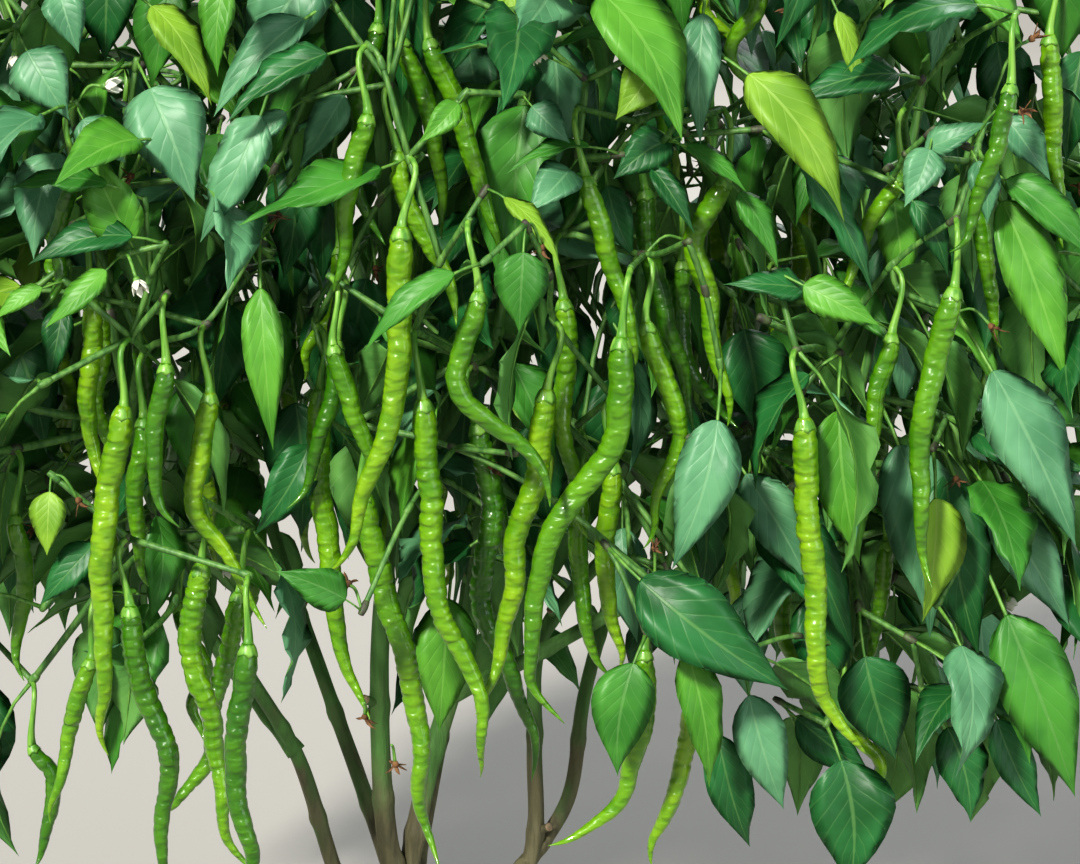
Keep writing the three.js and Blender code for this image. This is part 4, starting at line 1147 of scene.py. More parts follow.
def add_twig(soup, places, radii, draw):
    """A twig through its nodes, which bows a little between them."""
    count = TWIG_STEPS * (len(places) - 1)
    centres = smooth(places, count)
    thick = np.interp(np.linspace(0, len(places) - 1, count + 1), np.arange(len(places)), radii)
    thick = thick * (1 + TWIG_UNEVEN * ripples(draw, [np.arange(count + 1)], [UNEVEN_WAVE], UNEVEN_COUNT))
    add_tube(soup, rings_round(centres, thick[:, None] * RIBBED, TWIG_SIDES), TWIG_LOOK)
    for i in range(1, len(places)):
        k = i * TWIG_STEPS
        direction = unit(centres[k] - centres[k - 1])
        joint = centres[k] + direction * JOINT_REACH[:, None]
        if i == len(places) - 1:
            joint = joint - direction * JOINT_REACH[-1] / 2
        look = JOINT_LOOK if draw() < DARK_JOINTS else TWIG_LOOK
        add_tube(soup, rings_round(joint, thick[k] * JOINT_SWELL[:, None] * RIBBED, TWIG_SIDES), look)


def twigs_mesh(mass, grown, materials):
    """A mass's stem and twigs. The stem goes on from inside its bough's tip."""
    draw = seeded(mass["seed"] + TWIG_SEED)
    soup = Soup()
    bough = next(limb for limb in LIMBS if limb["name"] == mass["bough"])
    stem = grown["stem"]
    inside = bough["centres"][-1] - stem[0]["along"] * STEM_INSIDE
    add_twig(soup, [inside, *(node["at"] for node in stem)],
             [bough["radii"][1] * STEM_FOOT, *(node["radius"] * STEM_SWELL for node in stem)], draw)
    for first in grown["nodes"]:
        if not first["parent"] or first["goes_on"]:
            continue
        places = [first["parent"]["at"]]
        radii = [first["radius"] * FORK_SWELL]
        node = first
        while node:
            places.append(node["at"])
            radii.append(node["radius"] * TWIG_SLIM)
            node = node["next"]
        add_twig(soup, places, radii, draw)
    piece = soup.mesh(mass["name"] + "_twigs", materials)
    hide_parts(mass["name"])


# Leaves. Each is a thin closed blade on a stalk that runs on under it as its midrib.
LEAF_SEED = 300
BLADE_ROWS = 14
BLADE_COLUMNS = 5
BLADE_THICKNESS = 0.4
OUTLINE_BASE = 0.68
OUTLINE_TIP = 1.4
REAL_WIDTH = 0.55
WIDTH_RANGE = (0.8, 1.15)
ARCH = (0.06, 0.17)
TIP_DROP = 0.07
TIP_CURL = 0.16
CURL_START = 0.6
FOLD = (0.1, 0.55)
FOLD_FLATTEN = 0.25
WAVE = (0.012, 0.04)
WAVES = (1.6, 3.2)
WAVE_SLANT = 2.1
WAVE_FULL_WIDTH = 8
TWIST = 1.3
TWIST_START = 0.3
SIDE_BEND = 0.16
BLADE_SHARES = 0.5 - 0.5 * np.cos(np.pi * np.arange(BLADE_ROWS + 1) / BLADE_ROWS)
BLADE_SIDES = np.linspace(-1, 1, BLADE_COLUMNS)
UNDER_LOOK = 5

# Stalks, whose size is that at the leaf's foot, along the stalk and where the blade starts
STALK_SHARE = (0.2, 0.3)
STALK_SIDES = 4
STALK_STEPS = 8
STALK_RADIUS = 1.15
STALK_FOOT_SHARE = 0.04
STALK_FOOT_SWELL = 1.35
STALK_HEAD = 0.95
MIDRIB_START = 0.8
MIDRIB_DIP = 0.05
MIDRIB_DEPTH = 0.75
MIDRIB_REACH = 0.94
MIDRIB_END = 0.3
STALK_LOOK = 6


def blade_outline(share):
    """A blade's half width at a share of its length, as a share of its widest."""
    widest = OUTLINE_BASE / (OUTLINE_BASE + OUTLINE_TIP)
    most = widest**OUTLINE_BASE * (1 - widest) ** OUTLINE_TIP
    return share**OUTLINE_BASE * (1 - share) ** OUTLINE_TIP / most


def blade_faces():
    """The faces of one blade and whether each is on its upper side. Its vertices are the upper grid, whose
    first and last rows are each one point, and then the lower grid without the margins that they share.
    Both sides are split along the same diagonals, so that they never cross."""
    rows, columns = BLADE_ROWS - 1, BLADE_COLUMNS
    upper = np.arange(rows * columns).reshape(rows, columns)
    base, tip = rows * columns, rows * columns + 1
    lower = upper.copy()
    lower[:, 1:-1] = tip + 1 + np.arange(rows * (columns - 2)).reshape(rows, columns - 2)
    faces = []
    for grid, is_upper in ((upper, True), (lower, False)):
        for c in range(columns - 1):
            made = [(base, grid[0, c + 1], grid[0, c], -1), (grid[-1, c], grid[-1, c + 1], tip, -1)]
            for r in range(rows - 1):
                made.append((grid[r, c], grid[r, c + 1], grid[r + 1, c + 1], grid[r + 1, c]))
            for face in made:
                corners = [i for i in face if i >= 0]
                turned = [corners[0], *corners[:0:-1]]
                faces.append(face if is_upper else turned + [-1] * (4 - len(turned)))
    count = len(faces) // 2
    return np.array(faces), np.arange(2 * count) < count


BLADE_FACES, BLADE_IS_UPPER = blade_faces()


def leaf_form(leaf, draw):
    """The numbers that make one leaf differ from another. A placed leaf has its own width and tint."""
    along, across, face = leaf_axes(leaf)
    form = dict(start=leaf["node"], along=along, across=across, face=face, length=leaf["length"],
                stalk=between(*STALK_SHARE, draw()), arch=between(*ARCH, draw()),
                fold=between(*FOLD, draw()), wave=between(*WAVE, draw()), waves=between(*WAVES, draw()),
                phase=2 * math.pi * draw(), twist=around(TWIST, draw()), bend=around(SIDE_BEND, draw()),
                curl=around(TIP_CURL, draw()), width=REAL_WIDTH * between(*WIDTH_RANGE, draw()),
                tint=int(np.searchsorted(TINT_SHARES, draw())))
    form.update({key: leaf[key] for key in ("width", "tint") if key in leaf})
    return form


def leaf_line(form, share):
    """Points on a leaf's middle line, at shares of its whole length, and its turned axes there."""
    share = np.asarray(share)[..., None]
    length = form["length"]
    height = 4 * form["arch"] * share * (1 - share) - TIP_DROP * share**2
    height = height - form["curl"] * np.maximum(0, share - CURL_START) ** 2
    sideways = 4 * form["bend"] * share * (1 - share)
    centre = (form["start"] + form["along"] * share * length + form["face"] * height * length
              + form["across"] * sideways * length)
    turn = form["twist"] * (share - TWIST_START)
    across = form["across"] * np.cos(turn) + form["face"] * np.sin(turn)
    return centre, across, form["face"] * np.cos(turn) - form["across"] * np.sin(turn)


def add_blade(soup, form):
    """Adds a leaf's blade, folded along its midrib and waved along its margins."""
    stalk, length = form["stalk"], form["length"]
    centre, across, face = leaf_line(form, stalk + (1 - stalk) * BLADE_SHARES)
    half = blade_outline(BLADE_SHARES) * form["width"] * length * (1 - stalk) / 2
    half = half[:, None, None]
    side = BLADE_SIDES[None, :, None]
    turns = 2 * np.pi * form["waves"] * BLADE_SHARES[:, None, None]
    wave = np.sin(turns + form["phase"] + WAVE_SLANT * side)
    lift = np.abs(side) * half * math.sin(form["fold"]) * (1 - FOLD_FLATTEN * np.abs(side))
    lift = lift + form["wave"] * length * side**2 * wave * np.minimum(1, half / WAVE_FULL_WIDTH)
    grid = centre[:, None] + across[:, None] * side * half * math.cos(form["fold"]) + face[:, None] * lift
    lower = grid[1:-1, 1:-1] - face[1:-1, None] * BLADE_THICKNESS
    points = np.vstack([grid[1:-1].reshape(-1, 3), grid[0, :1], grid[-1, :1], lower.reshape(-1, 3)])
    u = np.broadcast_to(BLADE_SIDES / 2 + 0.5, (BLADE_ROWS + 1, BLADE_COLUMNS))
    v = np.broadcast_to(BLADE_SHARES[:, None], u.shape)
    maps = np.stack([u, v], 2)
    maps = np.vstack([maps[1:-1].reshape(-1, 2), [[0.5, 0]], [[0.5, 1]], maps[1:-1, 1:-1].reshape(-1, 2)])
    soup.add(points, BLADE_FACES, np.where(BLADE_IS_UPPER, form["tint"], UNDER_LOOK), maps)


def add_stalk(soup, form):
    """Adds a leaf's stalk, which dips under the blade and tapers on to its tip as the midrib."""
    stalk = form["stalk"]
    shares = np.linspace(0, MIDRIB_REACH, STALK_STEPS)
    centre, _, face = leaf_line(form, shares)
    size = np.sqrt(form["length"] / LEAF_LENGTH) * STALK_RADIUS
    thick = np.interp(shares, [0, STALK_FOOT_SHARE, stalk, MIDRIB_REACH],
                      [STALK_FOOT_SWELL * size, size, STALK_HEAD * size, MIDRIB_END])
    under = np.clip((shares - stalk * MIDRIB_START) / MIDRIB_DIP, 0, 1)[:, None]
    centre = centre - face * under * (thick[:, None] * MIDRIB_DEPTH + BLADE_THICKNESS / 2)
    add_tube(soup, rings_round(centre, thick, STALK_SIDES), STALK_LOOK)


def add_leaf(soup, leaf, draw):
    """Adds a leaf's blade and stalk."""
    form = leaf_form(leaf, draw)
    add_blade(soup, form)
    add_stalk(soup, form)


# Pods, whose skin is folded across in short creases, each on a pedicel with a ribbed calyx
POD_SEED = 400
POD_SPACING = 1.3
BURIED_POD_SPACING = 1.9
POD_SIDES = 14
POD_STEPS = 30
YOUNG_RADIUS = 0.62
SHOULDER = 16
NECK = 0.5
TIP_ROUNDNESS = 0.72
POD_TAPER = (1.9, 3.4)
TIP_RADIUS = 0.25
SWAY = 2.6
SWAY_START = 2.5
SWAY_GROWTH = 0.3
SWAY_BESIDE = 1.6
SWAY_WAVES = (0.09, 0.07)
SWAY_COUNT = 3
HOOK_START = 0.86
HOOK = 3
LUMPS = 0.07
LUMP_WAVES = (0.25, 1)
LUMP_COUNT = 4
LOBES = 3
LOBE_DEPTH = 0.03
LOBE_TWIST = 0.02
LOBE_TURN = 6
WRINKLED = (0.45, 1.15)
FIRST_CREASE = 11
CREASE_SPACING = (4, 8.5)
CREASE_DEPTH = (0.09, 0.34)
CREASE_LENGTH = (1.3, 2.4)
CREASE_TILT = 2.2
CREASE_FADE = 0.5
CREASE_SHARPNESS = 1.2
CREASE_FAR_SIDE = (0.7, 0.3)
POD_LOOKS = 4

# Pedicels and calyxes. A pedicel thickens into the cup that holds the pod's shoulder.
PEDICEL_SIDES = 10
PEDICEL_SPACING = 4.5
PEDICEL_BOW = 11
BOW_RISE = 0.6
BOW_FORWARD = -0.6
BOW_SPREAD = 2
PEDICEL_SLIM = 0.25
PEDICEL_SWELL = 1.3
YOUNG_PEDICEL = 0.7
CUP_SPOTS = np.array([0.4, 2, 3.8, 5.6, 7.2])
CUP_RADII = np.array([3.9, 4.9, 5.6, 6.2, 6.6])
CUP_RIB = 0.07
CUP_RIM = 0.35
CUP_DEPTH = 1.2
CALYX_TOOTH = 0.9
CALYX_LOOK = 4


def pod_profile(spots, taper):
    """A pod's radius at places along it, as a share of its widest."""
    shoulder = NECK + (1 - NECK) * np.sin(np.minimum(spots / SHOULDER, 1) * np.pi / 2)
    return shoulder * np.maximum(0, 1 - (spots / spots[-1]) ** taper) ** TIP_ROUNDNESS


def pod_body(line, spots, draw):
    """A pod's middle line, which sways more towards its tip and ends in a hook."""
    share = spots / spots[-1]
    across, beside = axes_along(line)
    start = np.sin(np.pi * np.minimum(1, share * SWAY_START) / 2)[:, None]
    sway = SWAY * start * share[:, None] ** SWAY_GROWTH
    line = line + across * sway * ripples(draw, [spots], SWAY_WAVES[:1], SWAY_COUNT)[:, None]
    line = line + beside * sway * SWAY_BESIDE * ripples(draw, [spots], SWAY_WAVES[1:], SWAY_COUNT)[:, None]
    hook = np.maximum(0, share - HOOK_START)[:, None] ** 2 * spots[-1] * HOOK
    turn = 2 * math.pi * draw()
    return line + (across * math.cos(turn) + beside * math.sin(turn)) * hook


def pod_relief(spots, draw):
    """A pod's radius at each of its points as a share of its profile's, by its lumps, lobes and creases."""
    spot, angle = spots[:, None], turns_round(POD_SIDES)[None]
    wrinkled = between(*WRINKLED, draw())
    factor = 1 + LUMPS * ripples(draw, [spot, angle], LUMP_WAVES, LUMP_COUNT)
    factor = factor + LOBE_DEPTH * np.cos(LOBES * angle + spot * LOBE_TWIST + draw() * LOBE_TURN)
    even, uneven = CREASE_FAR_SIDE
    at = FIRST_CREASE
    while at < spots[-1]:
        side = 2 * math.pi * draw()
        apart = turn_apart(angle, side)
        tilt = around(CREASE_TILT, draw())
        near = np.abs(spot - at - tilt * np.sin(apart)) / between(*CREASE_LENGTH, draw())
        depth = between(*CREASE_DEPTH, draw()) * wrinkled * (1 - CREASE_FADE * at / spots[-1])
        factor = factor - depth * np.exp(-(near**CREASE_SHARPNESS)) * (even + uneven * np.cos(apart))
        at += between(*CREASE_SPACING, draw())
    return factor


def add_pod(soup, pod, draw):
    """Adds one pod with its pedicel and calyx."""
    radius = pod_size(pod)
    full_drop, least_drop = GROWN_DROP[0], SMALL_DROP[0]
    if pod["drop"] < full_drop:
        radius = radius * between(YOUNG_RADIUS, 1, (pod["drop"] - least_drop) / (full_drop - least_drop))
    line = smooth(pod["line"], POD_STEPS * (len(pod["line"]) - 1))
    spacing = BURIED_POD_SPACING if "out" in pod else POD_SPACING
    body, spots = evenly(line[POD_STEPS:], spacing)
    body = pod_body(body, spots, draw)
    factor = pod_relief(spots, draw)
    radii = radius * pod_profile(spots, between(*POD_TAPER, draw()))[:, None] * factor
    radii[-1] = TIP_RADIUS
    look = int(POD_LOOKS * draw())
    share = np.broadcast_to((spots / spots[-1])[:, None], radii.shape)
    maps = np.stack([share, np.full(radii.shape, draw())], 2)
    add_tube(soup, rings_round(body, np.maximum(radii, TIP_RADIUS), POD_SIDES), look, maps)
    bow = np.linspace(0, 1, POD_STEPS + 1)[:, None]
    bow = 4 * bow * (1 - bow) ** 2 * (UP * BOW_RISE + unit([around(BOW_SPREAD, draw()), BOW_FORWARD, 0]))
    add_calyx(soup, line[:POD_STEPS + 1] + bow * PEDICEL_BOW, body, radius)


def add_calyx(soup, pedicel, body, radius):
    """Adds the pedicel, which thickens into the cup that holds the pod's shoulder."""
    size = radius / POD_RADIUS
    stalk, spots = evenly(pedicel, PEDICEL_SPACING)
    share = spots / spots[-1]
    thick = (PEDICEL_RADIUS - PEDICEL_SLIM + PEDICEL_SWELL * share**4) * between(YOUNG_PEDICEL, 1, size)
    cup = points_at(body, CUP_SPOTS * size)
    centres = np.vstack([stalk, cup])
    radii = np.concatenate([thick, CUP_RADII * size])
    ribs = np.cos(RIBS * turns_round(PEDICEL_SIDES))
    rings = rings_round(centres, radii[:, None] * (1 + CUP_RIB * ribs), PEDICEL_SIDES)
    down = unit(cup[-1] - cup[0])
    rings[-1] += down * (CALYX_TOOTH * ribs)[:, None]
    inner = rings[-1] + (cup[-1] - rings[-1]) * CUP_RIM - down * CUP_DEPTH
    add_tube(soup, np.concatenate([rings, inner[None]]), CALYX_LOOK)


# Blossom: white flowers and the dry, brown remains of others. Those that show best have their pixel in the
# 1080 by 864 picture and their depth, and the rest grow at nodes by rule.
BLOSSOMS = [
    dict(pixel=(136, 278), depth=-250, dry=False),
    dict(pixel=(102, 86), depth=-215, dry=False),
    dict(pixel=(15, 52), depth=-205, dry=False),
    dict(pixel=(350, 585), depth=-250, dry=True),
    dict(pixel=(655, 550), depth=-207, dry=True),
    dict(pixel=(490, 465), depth=-176, dry=True),
    dict(pixel=(365, 715), depth=-174, dry=True),
    dict(pixel=(685, 240), depth=-176, dry=True),
    dict(pixel=(990, 325), depth=-196, dry=True),
    dict(pixel=(1030, 40), depth=-176, dry=True),
    dict(pixel=(132, 174), depth=-205, dry=True),
    dict(pixel=(395, 762), depth=-200, dry=True),
    dict(pixel=(1020, 112), depth=-250, dry=True),
    dict(pixel=(790, 6), depth=-190, dry=True),
]
BLOSSOM_SEED = 500
BLOSSOM_CHANCE = 0.07
DRY_SHARE = 0.7
BLOSSOM_DROP = 15
BLOSSOM_HANG = (0.4, 1.6)
FARTHEST_STALK = 45
WHITE_LOOK = 0
DRY_LOOK = 1
GREEN_LOOK = 2
ANTHER_LOOK = 3

# A flower's stalk and cup
BLOSSOM_RISE = 0.25
BLOSSOM_STEPS = 8
BLOSSOM_STALK = (0.8, 1.1)
BLOSSOM_TILT = unit([0.3, 0.9, 0.2])
BLOSSOM_CUP = np.array([-1, 0.5, 2, 2.6])
BLOSSOM_CUP_RADII = np.array([1, 2, 2.3, 1.8])
BLOSSOM_CUP_SIDES = 8

# A flower's petals, and how crooked and shrunk those of a dry one are
PETAL_SEED = 600
PETALS = 5
PETAL_SIDES = 6
PETAL_START = 1.8
PETAL_LENGTH = 10
PETAL_WIDTH = 2.9
PETAL_THICKNESS = 0.3
PETAL_FORM = np.array([0.5, 0.9, 1, 0.75, 0.1])
PETAL_SHARES = np.linspace(0, 1, len(PETAL_FORM))
PETAL_LEAN = 0.95
PETAL_CURVE = 0.48
DRY_SHIFT = 0.7
DRY_LENGTH = (0.5, 1.05)
DRY_SPREAD = 1.3
DRY_CURL = 0.9
DRY_WIDTH = 0.42

# A flower's anthers
ANTHER_AHEAD = np.array([2, 3.4, 5.4])
ANTHER_ASIDE = np.array([0.9, 1.4, 1.5])
ANTHER_RADII = np.array([0.3, 0.6, 0.5])
ANTHER_SIDES = 5


def grow_blossoms(mass, grown):
    """The places, starts and states of a mass's flowers."""
    draw = seeded(mass["seed"] + BLOSSOM_SEED)
    made = []
    starts = np.array([node["at"] for node in grown["nodes"]])
    for spec in BLOSSOMS:
        at = place_at(spec["pixel"], spec["depth"])
        if owns(mass, at[None])[0]:
            start = starts[np.linalg.norm(starts - at, axis=1).argmin()]
            if np.linalg.norm(start - at) > FARTHEST_STALK:
                start = at + unit(start - at) * BLOSSOM_DROP
            made.append(dict(start=start, at=at, dry=spec["dry"]))
    for start in starts:
        chance, dry, turn, drop = (draw() for _ in range(4))
        if chance < BLOSSOM_CHANCE and start[2] > mass["lowest"]:
            turn = turn * 2 * math.pi
            way = np.array([math.cos(turn), math.sin(turn), -between(*BLOSSOM_HANG, drop)])
            at = start + way * BLOSSOM_DROP
            if to_pods(at[None], grown["pods"])[0] > PETAL_LENGTH and not hides_pod(at[None]):
                made.append(dict(start=start, at=at, dry=dry < DRY_SHARE))
    return made


def petal_form(dry, draw):
    """How far round its flower a petal is shifted, its length, and how far it leans out and curls aside at
    each share of its length."""
    if not dry:
        return 0, PETAL_LENGTH, PETAL_LEAN - PETAL_CURVE * PETAL_SHARES, 0 * PETAL_SHARES
    shift = around(DRY_SHIFT, draw())
    length = PETAL_LENGTH * between(*DRY_LENGTH, draw())
    lean = PETAL_LEAN - around(DRY_SPREAD, draw()) + 0 * PETAL_SHARES
    return shift, length, lean, around(DRY_CURL, draw()) * PETAL_SHARES**2


def add_petal(soup, centres, widths, side, look):
    """Adds a thin petal along a line, as wide to its sides as the widths say."""
    turns = turns_round(PETAL_SIDES)
    face = np.cross(unit(np.gradient(centres, axis=0)), side)
    wide = side * (widths[:, None] * np.cos(turns))[..., None]
    thick = face[:, None] * (PETAL_THICKNESS * np.sin(turns))[..., None]
    add_tube(soup, centres[:, None] + wide + thick, look)


def add_blossom(soup, blossom, draw):
    """Adds a flower with its stalk and cup. A dry one has shrunk to crooked brown shreds."""
    start, at, dry = blossom["start"], blossom["at"], blossom["dry"]
    bend = (start + at) / 2 + UP * np.linalg.norm(at - start) * BLOSSOM_RISE
    stalk = smooth([start, bend, at], BLOSSOM_STEPS)
    thick = np.linspace(*BLOSSOM_STALK, BLOSSOM_STEPS + 1)
    add_tube(soup, rings_round(stalk, thick, PETAL_SIDES), GREEN_LOOK)
    axis = unit(at - bend)
    across = unit(np.cross(axis, BLOSSOM_TILT))
    beside = np.cross(axis, across)
    cup = rings_round(at + axis * BLOSSOM_CUP[:, None], BLOSSOM_CUP_RADII, BLOSSOM_CUP_SIDES)
    add_tube(soup, cup, DRY_LOOK if dry else GREEN_LOOK)

    def outwards(step):
        angle = 2 * math.pi * step / PETALS
        return across * math.cos(angle) + beside * math.sin(angle)

    for k in range(PETALS):
        shift, length, lean, curl = petal_form(dry, draw)
        out = outwards(k + shift)
        side = np.cross(axis, out)
        way = out * np.sin(lean)[:, None] + axis * np.cos(lean)[:, None] + side * curl[:, None]
        centres = at + axis * PETAL_START + way * (PETAL_SHARES * length)[:, None]
        widths = PETAL_WIDTH * PETAL_FORM * (DRY_WIDTH if dry else 1)
        add_petal(soup, centres, widths, side, DRY_LOOK if dry else WHITE_LOOK)
    for k in range(0 if dry else PETALS):
        anther = at + axis * ANTHER_AHEAD[:, None] + outwards(k + 0.5) * ANTHER_ASIDE[:, None]
        add_tube(soup, rings_round(anther, ANTHER_RADII, ANTHER_SIDES), ANTHER_LOOK)


def items_mesh(mass, kind, seed, add_item, items, materials):
    """All of a mass's leaves, pods or flowers, each added to one mesh with the kind's own draws."""
    draw = seeded(mass["seed"] + seed)
    soup = Soup()
    for item in items:
        add_item(soup, item, draw)
    piece = soup.mesh(mass["name"] + kind, materials)
    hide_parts(mass["name"])
    return piece


# Materials
class Shading:
    """A material's nodes, made one by one."""

    def __init__(self, name, **values):
        self.material = bpy.data.materials.new(name)
        self.material.use_nodes = True
        self.nodes = self.material.node_tree.nodes
        self.links = self.material.node_tree.links
        self.shader = self.nodes["Principled BSDF"]
        for socket, value in values.items():
            self.shader.inputs[socket.replace("_", " ")].default_value = value

    def node(self, kind, inputs=None, **settings):
        """A node with its settings, and its inputs as values or as other nodes' outputs."""
        made = self.nodes.new(kind)
        for name, value in settings.items():
            setattr(made, name, value)
        for key, value in (inputs or {}).items():
            if isinstance(value, bpy.types.NodeSocket):
                self.links.new(value, made.inputs[key])
            else:
                made.inputs[key].default_value = value
        return made

    def math(self, operation, *values):
        return self.node("ShaderNodeMath", dict(enumerate(values)), operation=operation).outputs[0]

    def fade(self, value, start, end):
        """0 up to the start and 1 from the end on, or the other way round where the end is lower."""
        inputs = {"Value": value, "From Min": start, "From Max": end}
        return self.node("ShaderNodeMapRange", inputs, interpolation_type="SMOOTHSTEP").outputs["Result"]

    def noise(self, scale, detail=2.0, stretch=(1, 1, 1)):
        """Noise in the plant's own place, in metres."""
        place = self.node("ShaderNodeTexCoord").outputs["Object"]
        place = self.node("ShaderNodeMapping", {"Vector": place, "Scale": stretch}).outputs["Vector"]
        inputs = {"Vector": place, "Scale": scale, "Detail": detail}
        return self.node("ShaderNodeTexNoise", inputs).outputs["Fac"]

    def mix(self, share, first, second):
        """A colour between two, each an RGB triple or another node's output."""
        made = self.nodes.new("ShaderNodeMix")
        made.data_type = "RGBA"
        for place, value in ((0, share), (6, first), (7, second)):
            if isinstance(value, bpy.types.NodeSocket):
                self.links.new(value, made.inputs[place])
            else:
                made.inputs[place].default_value = value if place == 0 else (*value, 1)
        return made.outputs[2]

    def colour(self, output):
        self.links.new(output, self.shader.inputs["Base Color"])

    def bump(self, height, distance, strength):
        inputs = {"Height": height, "Distance": distance, "Strength": strength}
        made = self.node("ShaderNodeBump", inputs)
        self.links.new(made.outputs["Normal"], self.shader.inputs["Normal"])


# Materials' noise is given by its scale, detail and stretch, the edges between which it fades, and a bump by
# its height in metres and its strength.
STREAK_EDGES = (0.35, 0.65)
STALK_STREAKS = (300, 3.0, (1, 1, 0.12))
STALK_GRAIN = (700, 2.0, (1, 1, 0.2))
STALK_BUMP = (0.0005, 0.35)
SKIN_GRAIN = (420, 2.0)

# A leaf's veins: how many pairs, how they slope, how wide they fade out and how much they show. The blade
# swells between them.
VEINS = 7.5
VEIN_SLOPE = 0.32
VEIN_BOW = 0.85
VEIN_EDGES = (0.09, 0.02)
MIDRIB_EDGES = (0.07, 0.02)
SIDE_VEIN_SHARE = 0.38
VEIN_SHARE = 0.42
SWELL_SIZE = (0.3, 0.2)
SWELL_HEIGHT = 1.6
LEAF_GRAIN = 0.25
LEAF_BUMP = (0.0011, 0.26)
BLOTCHES = (26, 3.0)
BLOTCH_EDGES = (0.36, 0.66)

# A pod's broad change of colour, and its folds, whose colour paints shade in their creases and light on their
# bulges
POD_TONES = (34, 2.0)
POD_TONE_EDGES = (0.34, 0.68)
POD_FOLDS = (105, 0.6, (1, 1, 2.1))
POD_FOLD_EDGES = (0.3, 0.66)
POD_FOLD_PAINTED_SHADE_SHARE = 0.35
POD_GRAIN = 0.08
POD_BUMP = (0.002, 0.5)

# Bark's streaks and patches, and how much lighter or darker its streaks are
BARK_STREAKS = (150, 4.0, (1, 1, 0.1))
BARK_PATCHES = (40, 3.0, (1, 1, 0.4))
BARK_GRAIN = (600, 3.0, (1, 1, 0.3))
BARK_DRY_SHARE = 0.75
BARK_EDGES = (0.2, 0.6)
BARK_BUMP = (0.0012, 0.6)
GREEN_STREAKS = 1.5
TAN_STREAKS = 0.55


def leaf_material(name, dark, light, vein, roughness, relief):
    """A leaf's face: two greens in soft blotches, with a paler midrib and side veins."""
    shading = Shading(name, Roughness=roughness, Specular_IOR_Level=0.32, Coat_Weight=0.08,
                      Coat_Roughness=0.35)
    shape = shading.node("ShaderNodeUVMap", uv_map="shape").outputs["UV"]
    split = shading.node("ShaderNodeSeparateXYZ", {"Vector": shape})
    aside = shading.math("ABSOLUTE", shading.math("MULTIPLY_ADD", split.outputs["X"], 2.0, -1.0))
    slant = shading.math("MULTIPLY", shading.math("POWER", aside, VEIN_BOW), VEIN_SLOPE)
    phase = shading.math("MULTIPLY", shading.math("SUBTRACT", split.outputs["Y"], slant), VEINS)
    apart = shading.math("PINGPONG", phase, 0.5)
    side_veins = shading.math("MULTIPLY", shading.fade(apart, *VEIN_EDGES), SIDE_VEIN_SHARE)
    veins = shading.math("MAXIMUM", side_veins, shading.fade(aside, *MIDRIB_EDGES))
    blotches = shading.fade(shading.noise(*BLOTCHES), *BLOTCH_EDGES)
    green = shading.mix(blotches, dark, light)
    shading.colour(shading.mix(shading.math("MULTIPLY", veins, VEIN_SHARE), green, vein))
    fine = shading.math("MULTIPLY", shading.noise(*SKIN_GRAIN), LEAF_GRAIN)
    swell = shading.math("MULTIPLY", shading.math("SMOOTH_MIN", apart, *SWELL_SIZE), SWELL_HEIGHT)
    swell = shading.math("SUBTRACT", swell, shading.math("MULTIPLY", veins, relief))
    shading.bump(shading.math("ADD", swell, fine), *LEAF_BUMP)
    return shading.material


def pod_material(name, dark, light):
    """A pod's waxy skin, a little yellower here and there, with fine folds across it. The folds' colour
    paints shade in their creases and light on their bulges.
    """
    shading = Shading(name, Roughness=0.34, Specular_IOR_Level=0.35, Coat_Weight=0.75, Coat_Roughness=0.1,
                      Subsurface_Weight=0.1, Subsurface_Radius=(0.9, 1.0, 0.2), Subsurface_Scale=0.002)
    tones = shading.fade(shading.noise(*POD_TONES), *POD_TONE_EDGES)
    folds = shading.fade(shading.noise(*POD_FOLDS), *POD_FOLD_EDGES)
    # Painted shade and light: the folds make the colour darker in their creases and lighter on their bulges.
    share = shading.math("MULTIPLY", tones, 1 - POD_FOLD_PAINTED_SHADE_SHARE)
    share = shading.math("MULTIPLY_ADD", folds, POD_FOLD_PAINTED_SHADE_SHARE, share)
    shading.colour(shading.mix(share, dark, light))
    height = shading.math("MULTIPLY_ADD", shading.noise(*SKIN_GRAIN), POD_GRAIN, folds)
    shading.bump(height, *POD_BUMP)
    return shading.material


def stalk_material(name, dark, light, roughness=0.5):
    """Two tones in streaks along the plant's height, for stalks, twigs, flowers and cut wood."""
    shading = Shading(name, Roughness=roughness)
    streaks = shading.fade(shading.noise(*STALK_STREAKS), *STREAK_EDGES)
    shading.colour(shading.mix(streaks, dark, light))
    shading.bump(shading.noise(*STALK_GRAIN), *STALK_BUMP)
    return shading.material


def bark_material(name, green, tan, low, high):
    """Green bark that turns to dry, streaked tan between two heights, from the higher to the lower."""
    shading = Shading(name, Roughness=0.72)
    place = shading.node("ShaderNodeTexCoord").outputs["Object"]
    height = shading.node("ShaderNodeSeparateXYZ", {"Vector": place}).outputs["Z"]
    dry = shading.fade(height, high, low)
    streaks = shading.noise(*BARK_STREAKS)
    patches = shading.math("SUBTRACT", shading.noise(*BARK_PATCHES), 0.5)
    share = shading.math("ADD", shading.math("MULTIPLY", dry, BARK_DRY_SHARE), patches)
    tone = shading.fade(streaks, *STREAK_EDGES)
    fresh = shading.mix(tone, green, tuple(GREEN_STREAKS * c for c in green))
    old = shading.mix(tone, tan, tuple(TAN_STREAKS * c for c in tan))
    shading.colour(shading.mix(shading.fade(share, *BARK_EDGES), fresh, old))
    shading.bump(shading.math("ADD", streaks, shading.noise(*BARK_GRAIN)), *BARK_BUMP)
    return shading.material


